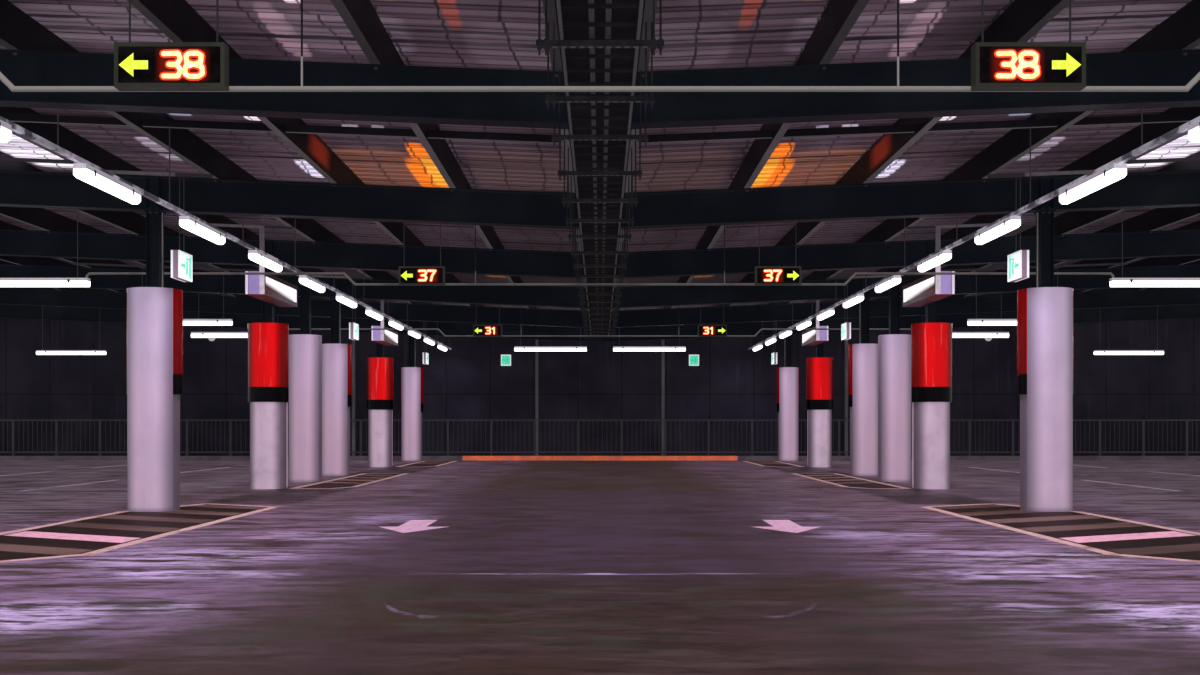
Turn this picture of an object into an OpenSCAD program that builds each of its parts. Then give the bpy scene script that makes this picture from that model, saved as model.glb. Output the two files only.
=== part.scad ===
// One storey of a steel-framed multi-storey car park, six bays long and three spans wide.
// Units are millimetres. X runs across the aisle, Y runs along it towards the closed end,
// Z is up. The origin is the centre of the floor slab's underside.

/* [Grid] */
// Number of bays along the aisle
bays = 6; // [2:2:6]
// Distance between beam lines along the aisle
bay = 5000; // [4600:50:5400]
// Distance between the two inner column rows
aisle_span = 10100; // [9900:50:10650]
// Distance from an inner column row to the outer row beside it
side_span = 12875; // [11500:25:13400]
// How far the floor and the roof run past the outer column lines
edge = 600; // [600:10:900]

/* [Floor] */
// Thickness of the concrete deck
floor_t = 250; // [150:10:400]

/* [Columns] */
// Depth and width of the H-shaped steel columns
col_size = 152; // [120:1:180]
// Flange thickness of the steel columns
col_flange = 9; // [6:1:16]
// Web thickness of the steel columns
col_web = 7; // [5:1:12]
// Thickness of the cap plate on a steel column
cap_t = 15; // [8:1:30]
// Margin of the cap plate around the column
cap_margin = 15; // [5:1:25]
// Diameter of the round white casing
casing_d = 540; // [450:10:560]
// Height of the round white casing
casing_h = 2500; // [2200:10:2600]
// Width of the bevel at the top of the casing
casing_bevel = 8; // [2:1:15]
// Thickness of the wraps and of the white shell on a casing
wrap_t = 32; // [10:1:36]
// Angle that the white shell covers, on one side of the casing
shell_angle = 116; // [80:2:150]
// Angle of the seams between the shell and the panels of a wrap
seam_angle = 1; // [0.5:0.25:3]
// Number of panels in a wrap
wrap_panels = 3; // [2:1:5]
// Height of the red part of the wrap
red_h = 960; // [700:10:1200]
// Height of the black part of the wrap
black_h = 230; // [100:10:400]

/* [Main beams] */
// Height of the main beams' soffit above the floor at the aisle centre, where it is lowest
soffit_h = 3190; // [3150:5:3500]
// Rise of the roof from the aisle centre outwards, as a share of the distance
fall = 0.04; // [0.01:0.002:0.06]
// Depth of a main beam
beam_d = 380; // [320:10:500]
// Flange width of a main beam
beam_w = 200; // [190:5:300]
// Flange thickness of a main beam
beam_flange = 16; // [10:1:30]
// Web thickness of a main beam
beam_web = 10; // [6:1:20]
// Thickness of the web stiffeners over the columns
stiffener_t = 12; // [8:1:20]

/* [Purlins] */
// Distance from the aisle centre to the first purlin's web
purlin_first = 280; // [265:5:400]
// Distance between purlins
purlin_pitch = 1340; // [1250:10:1400]
// Depth of a purlin
purlin_d = 300; // [200:10:350]
// Flange width of a purlin
purlin_w = 75; // [60:1:100]
// Thickness of a purlin
purlin_t = 3; // [2:0.5:6]
// Length of the lips on a purlin's flanges
purlin_lip = 20; // [12:1:30]
// Depth of the bridging bars between the purlins at mid-bay
bridging_d = 70; // [50:5:120]
// Width of the bridging bars
bridging_w = 50; // [40:5:60]
// Height of the bridging bars above the purlins' undersides
bridging_up = 34; // [34:2:60]

/* [Roof] */
// Depth of the roof sheets' ribs
sheet_d = 40; // [30:5:60]
// Distance between ribs
rib_pitch = 250; // [150:10:300]
// Width of a rib's top
rib_top = 70; // [40:5:90]
// Width of a rib's sloping side
rib_side = 20; // [10:2:30]
// Thickness of the roof sheets
sheet_t = 4; // [2:0.5:6]
// Depth of the gutter in the roof's valley
gutter_d = 160; // [100:10:180]
// Gap between the gutter's side and the first purlin
gutter_gap = 8; // [4:1:20]
// Length of the gutter's lip over the first purlin
gutter_lip = 32; // [20:1:35]

/* [Cable ladder] */
// Width of the cable ladder over its rails
ladder_w = 440; // [300:10:520]
// Depth of the ladder's side rails
ladder_rail_d = 70; // [50:5:90]
// Thickness of the ladder's side rails
ladder_rail_t = 20; // [10:1:25]
// Gap between the ladder's rails and the main beams' soffit
ladder_clear = 20; // [10:1:100]
// Thickness of the dust cover on top of the ladder's rails
ladder_cover_t = 4; // [2:1:8]
// Distance between rungs
rung_pitch = 300; // [250:10:500]
// Thickness of a rung; a rung is twice as wide
rung_t = 15; // [8:1:20]
// Distance that the ladder stops short of the last beam line
ladder_stop = 3300; // [3000:100:4500]
// Diameter of the two conduits on the ladder
ladder_conduit_d = 32; // [20:1:34]
// Distance of each ladder conduit from the ladder's centre
ladder_conduit_x = 45; // [25:1:120]
// Distances of the ladder's hangers from the beam line before them
trapeze_places = [1210, 2520, 3735, 4855];
// Size of the channel bars in the hangers
strut_size = 35; // [30:1:50]
// Diameter of the hanger rods
rod_d = 12; // [8:1:16]

/* [Aisle lights] */
// Distances of the light fittings' centres from the beam line before them
light_places = [1000, 3530];
// Distance of a light row from the inner column row
light_in = 1000; // [850:10:1200]
// Length of an aisle light fitting
aisle_light_l = 1200; // [900:10:1500]
// Width of a light fitting's diffuser
light_w = 100; // [80:5:140]
// Depth of a light fitting's diffuser
diffuser_d = 75; // [50:5:90]
// Depth of the metal spine over the diffuser
spine_d = 40; // [30:5:60]
// Size of the square trunking over the fittings
trunking = 40; // [30:5:60]
// Gap between the trunking and the main beams' soffit
trunking_clear = 145; // [20:5:200]

/* [Side lights] */
// Length of a side light fitting
side_light_l = 1800; // [1200:50:1850]
// Distances of the side fittings' centres from the inner row
side_light_places = [2640, 8800];
// Distance of the side fittings by a beam line from that line
side_light_back = 850; // [700:10:1500]
// Distance of the hanger rods from a side fitting's end
light_rod_in = 150; // [60:10:400]
// Distance of the end fittings' centres from the aisle centre
end_light_x = 1230; // [960:10:1500]
// Gap between the side fittings and the main beams' soffit
side_light_drop = 275; // [230:5:400]
// Diameter of the conduits
conduit_d = 32; // [20:1:40]
// Distance from the aisle centre at which the crossing conduits bend up
conduit_bend_x = 3260; // [2900:10:3500]
// Gap between the crossing conduits and the trunking that they pass under
conduit_clear = 8; // [4:1:40]
// Diameter of the dome detectors
dome_d = 150; // [80:5:180]
// Distance of a dome detector outwards from its fitting's centre
dome_x = 480; // [100:10:800]

/* [Hanging signs] */
// Width of a guidance sign
sign_w = 605; // [500:5:700]
// Height of a guidance sign
sign_h = 245; // [200:5:300]
// Depth of a guidance sign's case
sign_d = 90; // [60:5:140]
// Distance of a guidance sign's centre from the aisle centre
sign_x = 2360; // [2000:5:2600]
// Gap between a guidance sign and the main beams' lowest soffit
sign_drop = 125; // [60:5:250]
// Distance of a guidance sign's hanger rods from its ends
sign_rod_in = 60; // [20:5:120]
// Width of the frame around a sign's face
sign_frame = 22; // [12:1:40]
// Depth of the recess that holds a sign's face
sign_recess = 12; // [8:1:30]
// Thickness of a sign's face
face_t = 5; // [3:1:6]
// Thickness of an exit sign
exit_t = 95; // [60:5:100]
// Length of an exit sign
exit_l = 450; // [300:10:500]
// Height of an exit sign
exit_h = 300; // [250:10:360]
// Height of an exit sign's underside above the casings
exit_over = 75; // [20:5:200]
// Gap across the aisle between an exit sign and the column's wrap
exit_gap = 66; // [20:1:100]
// Gap along the aisle between an exit sign and the main beam
exit_back = 20; // [20:5:200]
// Width of a zone sign box
zone_w = 270; // [200:10:300]
// Length of a zone sign box
zone_l = 1970; // [1500:10:2200]
// Height of a zone sign box
zone_h = 320; // [250:10:350]
// Height of a zone sign box's underside above the casings
zone_over = 300; // [60:5:400]
// Width of the band around a zone sign box's face
zone_band = 60; // [30:5:100]
// Length of a zone sign box beyond its column
zone_past = 420; // [200:10:600]
// Width of the flat hanger on a zone sign box's open end
zone_bar_w = 70; // [40:5:90]
// Thickness of the flat hanger on a zone sign box's open end
zone_bar_t = 8; // [5:1:12]
// Distance of the end wall's exit signs from the aisle centre
end_exit_x = 2560; // [2400:10:2800]
// Length of an exit sign on the end wall
end_exit_l = 270; // [200:10:450]

/* [Closed end] */
// Gap between the last columns' wraps and the kerb
kerb_gap = 18; // [5:1:30]
// Width of the orange kerb
kerb_w = 140; // [100:5:150]
// Height of the orange kerb
kerb_h = 120; // [80:5:200]
// Height of the guard rail above the floor
rail_h = 1110; // [1000:10:1300]
// Distance between guard rail posts
rail_pitch = 1180; // [900:10:1500]
// Size of the guard rail posts
rail_post = 60; // [40:2:80]
// Size of the guard rail's top and bottom bars
rail_bar = 40; // [30:2:50]
// Number of upright bars in each gap of the guard rail
infill_bars = 8; // [6:1:9]
// Thickness of the upright bars
infill_t = 12; // [8:1:16]
// Size of the end wall's posts
wall_post = 80; // [60:5:90]
// Distance of the first wall post from the aisle centre
wall_first = 1720; // [1500:10:2000]
// Distance between the end wall's posts
wall_pitch = 5000; // [4500:50:5200]
// Thickness of the end wall's panels
panel_t = 30; // [20:5:40]

/* [Hidden] */
smooth = 48;
// Clearance between a piece and its seat
hair = 0.3;

length = bays * bay;
half_len = length / 2 + edge;
inner_x = aisle_span / 2;
light_x = inner_x - light_in;
outer_x = inner_x + side_span;
half_wid = outer_x + edge;
// Levels at the aisle centre; whatever follows the roof's slope is higher by rise(x)
deck = floor_t;
soffit = deck + soffit_h;
beam_top = soffit + beam_d;
bridging_z = beam_top + bridging_up;
strut_z = beam_top - strut_size;
casing_top = deck + casing_h;
cap_half = col_size / 2 + cap_margin;
wrap_r = casing_d / 2 + hair + wrap_t;
beam_half = outer_x + beam_w;
extra_line = bays / 2 + 0.5;
ladder_z = soffit - ladder_clear - ladder_rail_d;
ladder_y0 = -half_len;
ladder_y1 = length / 2 - ladder_stop;
trunk_z = soffit - trunking_clear - trunking;
light_z = trunk_z - spine_d - diffuser_d;
side_light_top = soffit - side_light_drop;
side_light_z = side_light_top - spine_d - diffuser_d;
sign_z = soffit - sign_drop - sign_h;
// Offsets along the aisle of the crossing conduits and the signs, which hang beside the bridging bars
conduit_y = bridging_w / 2 + rod_d / 2 + 1;
sign_y = conduit_y - conduit_d / 2 - hair - sign_d / 2;
exit_z = casing_top + exit_over;
exit_x = inner_x - wrap_r - exit_gap - exit_t / 2;
zone_z = casing_top + zone_over;
zone_x = inner_x - col_size / 2 - zone_w;
kerb_y = length / 2 + wrap_r + kerb_gap;
wall_y = half_len - wall_post;
roof_angle = atan(fall);

// Height that the sloping roof frame has gained at x
function rise(x) = fall * abs(x);
// Y of a beam line counted from the open end; half steps fall between two lines
function line_y(k) = k * bay - length / 2;
// True on the lines where the red wraps face the open end
function red_line(k) = k % 2 == 1;
// X of a purlin's web
function purlin_x(n) = purlin_first + n * purlin_pitch;
// Number of the last purlin on the aisle side of the signs, and of the last before the roof's edge
last_aisle_purlin = floor((zone_x - purlin_first) / purlin_pitch);
last_purlin = floor((half_wid - 2 * purlin_w - purlin_first) / purlin_pitch - 1 / 3);
// Y of every light fitting in an aisle row
light_ys = [for (k = [0:bays - 1], y = light_places) line_y(k) + y];

module both_sides() {
    children();
    mirror([1, 0, 0]) children();
}

// Round bar or pipe standing on z
module upright(d, z0, z1, sides = 8) {
    translate([0, 0, z0]) cylinder(d = d, h = z1 - z0, $fn = sides);
}

// Straight pipe in a plane across the aisle, from x0 and z0 to x1 and z1, longer by lap at each end
module leg(d, x0, z0, x1, z1, lap = 0) {
    translate([x0, 0, z0]) rotate([0, 90 - atan2(z1 - z0, x1 - x0), 0])
        translate([0, 0, -lap]) cylinder(d = d, h = norm([x1 - x0, z1 - z0]) + 2 * lap, $fn = 12);
}

// Outline across the aisle, carried out to a thickness w along it, centred on y = 0
module across(w) {
    rotate([90, 0, 0]) linear_extrude(w, center = true) children();
}

// Bar of depth d that follows the roof's slope from x0 to x1, at level z at the aisle centre
module sloped_bar(x0, x1, z, d, w) {
    across(w) polygon([[x0, z + rise(x0)], [x1, z + rise(x1)],
                       [x1, z + rise(x1) + d], [x0, z + rise(x0) + d]]);
}

// Block that stands on z0 and ends under the slope of level z
module under_slope(x0, x1, z0, z, w) {
    across(w) polygon([[x0, z0], [x1, z0], [x1, z + rise(x1)], [x0, z + rise(x0)]]);
}

// Round rod at x from z0 up to the slope of level z
module hanger(x, z0, z) {
    translate([x, 0, 0]) upright(rod_d, z0, z + rise(x - rod_d / 2));
}

// H section with its flanges across the aisle
module h_outline() {
    for (s = [-1, 1])
        translate([s * (col_size - col_flange) / 2, 0]) square([col_flange, col_size], center = true);
    square([col_size - col_flange, col_web], center = true);
}

module floor_slab() {
    color("dimgray") translate([-half_wid, -half_len, 0]) cube([2 * half_wid, 2 * half_len, floor_t]);
}

// Steel column with a tapered cap plate under the slope of level z
module steel_column(x, z) {
    cap_z = z + rise(x - cap_half) - cap_t;
    translate([x, 0, deck]) linear_extrude(cap_z - deck) h_outline();
    under_slope(x - cap_half, x + cap_half, cap_z, z, 2 * cap_half);
}

// A row of columns; the inner rows have one more column between two beam lines
module steel_columns(x, inner) {
    color("darkslategray") {
        for (k = [0:bays])
            translate([0, line_y(k), 0]) steel_column(x, soffit);
        if (inner)
            translate([0, line_y(extra_line), 0]) steel_column(x, bridging_z);
    }
}

// Round concrete casing, cast around the steel column
module casing() {
    r = casing_d / 2;
    translate([0, 0, deck]) difference() {
        rotate_extrude($fn = smooth)
            polygon([[0, 0], [r, 0], [r, casing_h - casing_bevel],
                     [r - casing_bevel, casing_h], [0, casing_h]]);
        translate([0, 0, -1]) linear_extrude(casing_h + 2) h_outline();
    }
}

module casings(x, inner) {
    color("gainsboro") {
        for (k = [0:bays])
            translate([x, line_y(k), 0]) casing();
        if (inner)
            translate([x, line_y(extra_line), 0]) casing();
    }
}

// Part ring around a casing, from angle a0 to a1 and z0 to z1
module part_ring(a0, a1, z0, z1) {
    rotate([0, 0, a0]) rotate_extrude(angle = a1 - a0, $fn = smooth)
        translate([casing_d / 2 + hair, z0]) square([wrap_t, z1 - z0]);
}

// One wrap around the back of a casing, in panels with seams between them
module wrap(z0, z1) {
    step = (360 - shell_angle - seam_angle) / wrap_panels;
    first = 90 - step * wrap_panels / 2;
    for (i = [0:wrap_panels - 1])
        part_ring(first + i * step + seam_angle / 2, first + (i + 1) * step - seam_angle / 2, z0, z1);
}

// The columns of all four rows, turned round on every second line; the extra ones only if asked
module at_columns(extra) {
    both_sides() {
        for (x = [inner_x, outer_x], k = [0:bays])
            translate([x, line_y(k), 0]) rotate([0, 0, red_line(k) ? 180 : 0]) children();
        if (extra)
            translate([inner_x, line_y(extra_line), 0]) children();
    }
}

// White shells, full height, that face the open end or on every second line the closed end
module white_shells() {
    color("whitesmoke") at_columns(true)
        part_ring(-90 - shell_angle / 2, shell_angle / 2 - 90, deck, casing_top);
}

module red_wraps() {
    color("red") at_columns(false) wrap(casing_top - red_h, casing_top);
}

module black_bands() {
    color("#202024") at_columns(false) wrap(casing_top - red_h - black_h, casing_top - red_h);
}

// Half of a rolled section across the storey, with web stiffeners over the columns
module main_beam() {
    clear_d = beam_d - 2 * beam_flange;
    sloped_bar(0, beam_half, soffit, beam_flange, beam_w);
    sloped_bar(0, beam_half, beam_top - beam_flange, beam_flange, beam_w);
    sloped_bar(0, beam_half, soffit, beam_d, beam_web);
    for (x = [inner_x, outer_x], s = [-1, 1]) {
        at = x + s * (col_size - col_flange) / 2;
        sloped_bar(at - stiffener_t / 2, at + stiffener_t / 2, soffit + beam_flange, clear_d, beam_w);
    }
}

module main_beams_right() {
    color("darkslategray")
        for (k = [0:bays])
            translate([0, line_y(k), 0]) main_beam();
}

// Places its children on top of the beams at x, square to the slope
module on_slope(x) {
    translate([x, 0, beam_top + rise(x)]) rotate([0, -roof_angle, 0]) children();
}

// Lipped channel along Y with its web on the aisle side
module purlin(x) {
    on_slope(x) across(2 * half_len)
        difference() {
            square([purlin_w, purlin_d]);
            translate([purlin_t, purlin_t])
                square([purlin_w - 2 * purlin_t, purlin_d - 2 * purlin_t]);
            translate([purlin_w / 2, purlin_lip]) square([purlin_w, purlin_d - 2 * purlin_lip]);
        }
}

// Purlins from number n0 to n1 on one side, and the one at the roof's edge if asked
module purlins(n0, n1, with_edge = false) {
    color("slategray") {
        for (n = [n0:n1])
            purlin(purlin_x(n));
        if (with_edge)
            purlin(half_wid - purlin_w);
    }
}

module purlins_centre() {
    both_sides() purlins(0, last_aisle_purlin);
}

module purlins_right() {
    purlins(last_aisle_purlin + 1, last_purlin, true);
}

// Bridging bar from the web of the purlin at x0 to the web of the next one at x1
module bridging_bar(x0, x1) {
    on_slope(x0) translate([purlin_t, -bridging_w / 2, bridging_up])
        cube([(x1 - x0) / cos(roof_angle) - purlin_t, bridging_w, bridging_d]);
}

module bridging_bars() {
    half = purlin_first - (bridging_up + bridging_d) * fall - hair;
    color("slategray")
        for (k = [0:bays - 1])
            translate([0, line_y(k + 0.5), 0]) {
                translate([-half, -bridging_w / 2, bridging_z]) cube([2 * half, bridging_w, bridging_d]);
                both_sides() {
                    for (n = [0:last_purlin - 1])
                        bridging_bar(purlin_x(n), purlin_x(n + 1));
                    bridging_bar(purlin_x(last_purlin), half_wid - purlin_w);
                }
            }
}

// Outline of a ribbed sheet along Y, as bottom line and top line
ribs = floor(2 * half_len / rib_pitch);
rib_y0 = -ribs * rib_pitch / 2;
rib_line = [for (i = [0:ribs - 1], p = [[0, 0], [rib_side, sheet_d - sheet_t],
                                        [rib_side + rib_top, sheet_d - sheet_t],
                                        [2 * rib_side + rib_top, 0]])
    [rib_y0 + i * rib_pitch + p[0], p[1]]];
sheet_line = concat([[-half_len, 0]], rib_line, [[half_len, 0]]);
lifted_line = [for (i = [len(sheet_line) - 1:-1:0]) sheet_line[i] + [0, sheet_t]];
// Distances along the slope at which the sheets start, meet on a purlin and end
sheet_start = purlin_first / cos(roof_angle) + gutter_lip + hair;
sheet_joint = (purlin_x(last_aisle_purlin + 1) + purlin_w / 2) / cos(roof_angle);
sheet_end = (half_wid + purlin_d * sin(roof_angle)) / cos(roof_angle);

// Ribbed sheet on the purlins, from u0 to u1 along the slope
module roof_sheet(u0, u1) {
    color("silver") on_slope(0) translate([u0, 0, purlin_d])
        rotate([90, 0, 90]) linear_extrude(u1 - u0) polygon(concat(sheet_line, lifted_line));
}

module outer_sheet() {
    roof_sheet(sheet_joint + hair, sheet_end);
}

// Half of the gutter's outline, from the valley's centre line outwards
gutter_top = beam_top + rise(purlin_first) + purlin_d;
gutter_x = purlin_first - purlin_d * fall - gutter_gap;
gutter_low = gutter_top - gutter_d;
lip_x = purlin_first + gutter_lip - purlin_d * sin(roof_angle);
lip_z = gutter_top + gutter_lip * fall;

// Box gutter between the first purlins, with a lip over each of them
module valley_gutter() {
    color("silver") both_sides() across(2 * half_len)
        polygon([[0, gutter_low], [gutter_x, gutter_low], [gutter_x, gutter_top], [lip_x, lip_z],
                 [lip_x, lip_z + sheet_t], [gutter_x - sheet_t, gutter_top + sheet_t],
                 [gutter_x - sheet_t, gutter_low + sheet_t], [0, gutter_low + sheet_t]]);
}

module cable_ladder() {
    color("darkgray") {
        for (s = [-1, 1])
            translate([s * (ladder_w - ladder_rail_t) / 2 - ladder_rail_t / 2, ladder_y0, ladder_z])
                cube([ladder_rail_t, ladder_y1 - ladder_y0, ladder_rail_d]);
        for (y = [ladder_y0 + rung_pitch / 2:rung_pitch:ladder_y1 - rung_pitch / 2])
            translate([ladder_rail_t / 2 - ladder_w / 2, y - rung_t, ladder_z])
                cube([ladder_w - ladder_rail_t, 2 * rung_t, rung_t]);
    }
}

// Sheet cover on the rails, under the main beams
module ladder_cover() {
    color("dimgray")
        translate([-ladder_w / 2, ladder_y0, ladder_z + ladder_rail_d + hair])
            cube([ladder_w, ladder_y1 - ladder_y0, ladder_cover_t]);
}

module ladder_conduits() {
    color("lightgray")
        for (s = [-1, 1])
            translate([s * ladder_conduit_x, ladder_y0, ladder_z + rung_t + ladder_conduit_d / 2 + hair])
                rotate([-90, 0, 0]) cylinder(d = ladder_conduit_d, h = ladder_y1 - ladder_y0, $fn = 16);
}

// Channel bar under the ladder, with two rods a side up to the first purlins
module trapeze() {
    half = purlin_first + purlin_w;
    translate([-half, -strut_size / 2, ladder_z - strut_size])
        cube([2 * half, strut_size, strut_size]);
    both_sides()
        for (f = [0.25, 0.75])
            hanger(purlin_first + f * purlin_w, ladder_z - 1, beam_top);
}

module ladder_hangers() {
    ys = [for (k = [0:bays - 1], place = trapeze_places) line_y(k) + place];
    color("dimgray")
        for (y = ys)
            if (y < ladder_y1)
                translate([0, y, 0]) trapeze();
}

// Square trunking over each light row, with rods to the main beams and the bridging bars
module light_trunking() {
    color("lightgray") both_sides() {
        translate([light_x - trunking / 2, -half_len, trunk_z])
            cube([trunking, half_len + wall_y, trunking]);
        for (k = [0:bays])
            translate([0, line_y(k), 0]) hanger(light_x, trunk_z + trunking - 1, soffit);
        for (k = [0:bays - 1])
            translate([0, line_y(k + 0.5), 0]) hanger(light_x, trunk_z + trunking - 1, bridging_z);
    }
}

// Metal spine of a fitting along X, with the diffuser's underside at z = 0
module spine(len) {
    translate([-len / 2, -light_w / 2, diffuser_d]) cube([len, light_w, spine_d]);
}

// Diffuser with bevelled lower edges
module diffuser(len) {
    half = light_w / 2;
    bevel = diffuser_d / 3;
    translate([-len / 2, 0, 0]) rotate([90, 0, 90]) linear_extrude(len)
        polygon([[-half, diffuser_d], [-half, bevel], [bevel - half, 0],
                 [half - bevel, 0], [half, bevel], [half, diffuser_d]]);
}

module in_aisle_rows() {
    both_sides()
        for (y = light_ys)
            translate([light_x, y, light_z]) rotate([0, 0, 90]) children();
}

module aisle_light_spines() {
    color("white") in_aisle_rows() spine(aisle_light_l);
}

module aisle_light_diffusers() {
    color("ivory") in_aisle_rows() diffuser(aisle_light_l);
}

// Side fittings at the sign stations, in the middle of every second bay
module at_station_lights() {
    both_sides()
        for (k = [0.5:2:bays], x = side_light_places)
            translate([inner_x + x, line_y(k), 0]) children();
}

// Side fittings short of the beam line that ends each second bay
module at_line_lights() {
    both_sides()
        for (k = [2:2:bays], x = side_light_places)
            translate([inner_x + x, line_y(k) - side_light_back, 0]) children();
}

// The two fittings across the aisle in the last bay
module at_end_lights() {
    both_sides()
        translate([end_light_x, line_y(bays - 0.5), 0]) children();
}

module at_side_lights() {
    at_station_lights() children();
    at_line_lights() children();
    at_end_lights() children();
}

light_rod_reach = side_light_l / 2 - light_rod_in;

// Two rods on a spine at x, up to the slope of level z
module spine_rods(x, z) {
    for (s = [-1, 1])
        hanger(x + s * light_rod_reach, side_light_top - 1, z);
}

module side_light_spines() {
    color("white") {
        at_side_lights() translate([0, 0, side_light_z]) spine(side_light_l);
        both_sides() {
            for (k = [0.5:2:bays], x = side_light_places)
                translate([0, line_y(k), 0]) spine_rods(inner_x + x, bridging_z);
            for (k = [2:2:bays], x = side_light_places)
                translate([0, line_y(k) - side_light_back, 0]) {
                    spine_rods(inner_x + x, strut_z);
                    strut(inner_x + x - light_rod_reach, inner_x + x + light_rod_reach);
                }
            translate([0, line_y(bays - 0.5), 0]) spine_rods(end_light_x, bridging_z);
        }
    }
}

module side_light_diffusers() {
    color("ivory") at_side_lights() translate([0, 0, side_light_z]) diffuser(side_light_l);
}

// Dome under the outer part of each fitting at a sign station
module dome_detectors() {
    color("whitesmoke") at_station_lights()
        translate([dome_x, 0, side_light_z]) mirror([0, 0, 1]) rotate_extrude($fn = 32)
            intersection() {
                circle(d = dome_d, $fn = 32);
                square(dome_d);
            }
}

// Conduit across the aisle behind each pair of signs, which lifts at its bends and ends on the
// nearest side fitting
module sign_conduit() {
    low = sign_z + conduit_d / 2;
    high = trunk_z - conduit_clear - conduit_d / 2;
    stub = side_light_top + conduit_d;
    end = inner_x + side_light_places[0] - side_light_l / 2 + spine_d;
    drop = end - (high - stub);
    upper_bend = conduit_bend_x + high - low;
    lap = conduit_d / 5;
    leg(conduit_d, 0, low, conduit_bend_x + lap, low);
    leg(conduit_d, conduit_bend_x, low, upper_bend, high, lap);
    leg(conduit_d, upper_bend - lap, high, drop + lap, high);
    leg(conduit_d, drop, high, end, stub, lap);
    translate([end, 0, 0]) upright(conduit_d, side_light_top, stub + lap, 12);
    hanger(purlin_x(1) + purlin_w / 2, low, beam_top);
}

// Thin pipe down the aisle side of a steel column, from its cap to the casing
module column_pipe() {
    translate([inner_x - col_size / 2 - conduit_d / 4 - hair, 0, 0])
        upright(conduit_d / 2, casing_top, soffit + rise(inner_x - cap_half) - cap_t, 12);
}

module light_conduits() {
    color("gainsboro") both_sides() {
        for (k = [0.5:2:bays])
            translate([0, line_y(k) + conduit_y, 0]) sign_conduit();
        for (k = [0:2:bays])
            translate([0, line_y(k), 0]) column_pipe();
    }
}

// Centres of the guidance signs, in pairs at the middle of every second bay
module at_signs() {
    both_sides()
        for (k = [0.5:2:bays])
            translate([sign_x, line_y(k) + sign_y, sign_z]) children();
}

module sign_case() {
    inner_w = sign_w - 2 * sign_frame;
    inner_h = sign_h - 2 * sign_frame;
    difference() {
        translate([-sign_w / 2, -sign_d / 2, 0]) cube([sign_w, sign_d, sign_h]);
        translate([-inner_w / 2, -sign_d / 2 - 1, sign_frame]) cube([inner_w, sign_recess + 1, inner_h]);
    }
}

module sign_face() {
    w = sign_w - 2 * sign_frame - 2 * hair;
    h = sign_h - 2 * sign_frame - 2 * hair;
    translate([-w / 2, sign_recess - sign_d / 2 - face_t, sign_frame + hair]) cube([w, face_t, h]);
}

module sign_cases() {
    color("darkolivegreen") at_signs() sign_case();
}

module sign_faces() {
    color("#101010") at_signs() sign_face();
}

// Channel bar under the purlins, from the one before x0 to the one after x1
module strut(x0, x1) {
    n0 = floor((x0 - purlin_first) / purlin_pitch);
    n1 = ceil((x1 - purlin_first) / purlin_pitch);
    sloped_bar(purlin_x(n0), purlin_x(n1) + purlin_w, strut_z, strut_size, strut_size);
}

module sign_hangers() {
    color("dimgray") {
        both_sides()
            for (k = [0.5:2:bays], s = [-1, 1])
                translate([0, line_y(k), 0])
                    hanger(sign_x + s * (sign_w / 2 - sign_rod_in), sign_z + sign_h, bridging_z);
        at_exits()
            translate([0, exit_l / 2, 0]) {
                strut(exit_x, exit_x + exit_t);
                for (s = [-1, 1])
                    hanger(exit_x + s * exit_t / 4, exit_z + exit_h, strut_z);
            }
        at_zones()
            translate([0, -zone_bar_t / 2, 0]) {
                strut(zone_x, zone_x + zone_w);
                under_slope(zone_x, zone_x + zone_bar_w, zone_z, strut_z, zone_bar_t);
            }
    }
}

// Front of each exit sign, on the lines where the columns turn their white side to the open end
module at_exits() {
    both_sides()
        for (k = [0:2:bays])
            translate([0, line_y(k) - beam_w / 2 - exit_back - exit_l, 0]) children();
}

// Exit sign cases beside the columns, and two on the end wall that face the aisle
module exit_signs() {
    color("honeydew") {
        at_exits()
            translate([exit_x - exit_t / 2, 0, exit_z]) difference() {
                cube([exit_t, exit_l, exit_h]);
                translate([-1, sign_frame, sign_frame])
                    cube([sign_recess + 1, exit_l - 2 * sign_frame, exit_h - 2 * sign_frame]);
            }
        both_sides()
            translate([end_exit_x - end_exit_l / 2, wall_y + (wall_post - panel_t) / 2 - exit_t, exit_z])
                difference() {
                    cube([end_exit_l, exit_t, exit_h]);
                    translate([sign_frame, -1, sign_frame])
                        cube([end_exit_l - 2 * sign_frame, sign_recess + 1, exit_h - 2 * sign_frame]);
                }
    }
}

// Lit faces of the exit signs, in the cases' recesses
module exit_faces() {
    in = sign_frame + hair;
    back = sign_recess - face_t;
    color("mediumseagreen") {
        at_exits()
            translate([exit_x - exit_t / 2 + back, in, exit_z + in])
                cube([face_t, exit_l - 2 * in, exit_h - 2 * in]);
        both_sides()
            translate([end_exit_x - end_exit_l / 2 + in,
                       wall_y + (wall_post - panel_t) / 2 - exit_t + back, exit_z + in])
                cube([end_exit_l - 2 * in, face_t, exit_h - 2 * in]);
    }
}

// Front of each zone sign box, on the red lines
module at_zones() {
    both_sides()
        for (k = [1:2:bays])
            translate([0, line_y(k) + zone_past - zone_l, 0]) children();
}

// Zone sign boxes with a recessed face towards the aisle
module zone_sign_boxes() {
    color("plum") at_zones()
        translate([zone_x, 0, zone_z]) difference() {
            cube([zone_w, zone_l, zone_h]);
            translate([-1, zone_band, zone_band])
                cube([sign_recess + 1, zone_l - 2 * zone_band, zone_h - 2 * zone_band]);
        }
}

module zone_faces() {
    in = zone_band + hair;
    color("maroon") at_zones()
        translate([zone_x + sign_recess - face_t, in, zone_z + in])
            cube([face_t, zone_l - 2 * in, zone_h - 2 * in]);
}

module end_kerb() {
    color("orangered") translate([-half_wid, kerb_y, deck]) cube([2 * half_wid, kerb_w, kerb_h]);
}

rail_gaps = floor((2 * half_wid - rail_post) / rail_pitch);
rail_z0 = deck + kerb_h;
rail_z1 = deck + rail_h;
// Height of the lower bar above the kerb
rail_foot = 80;

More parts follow.
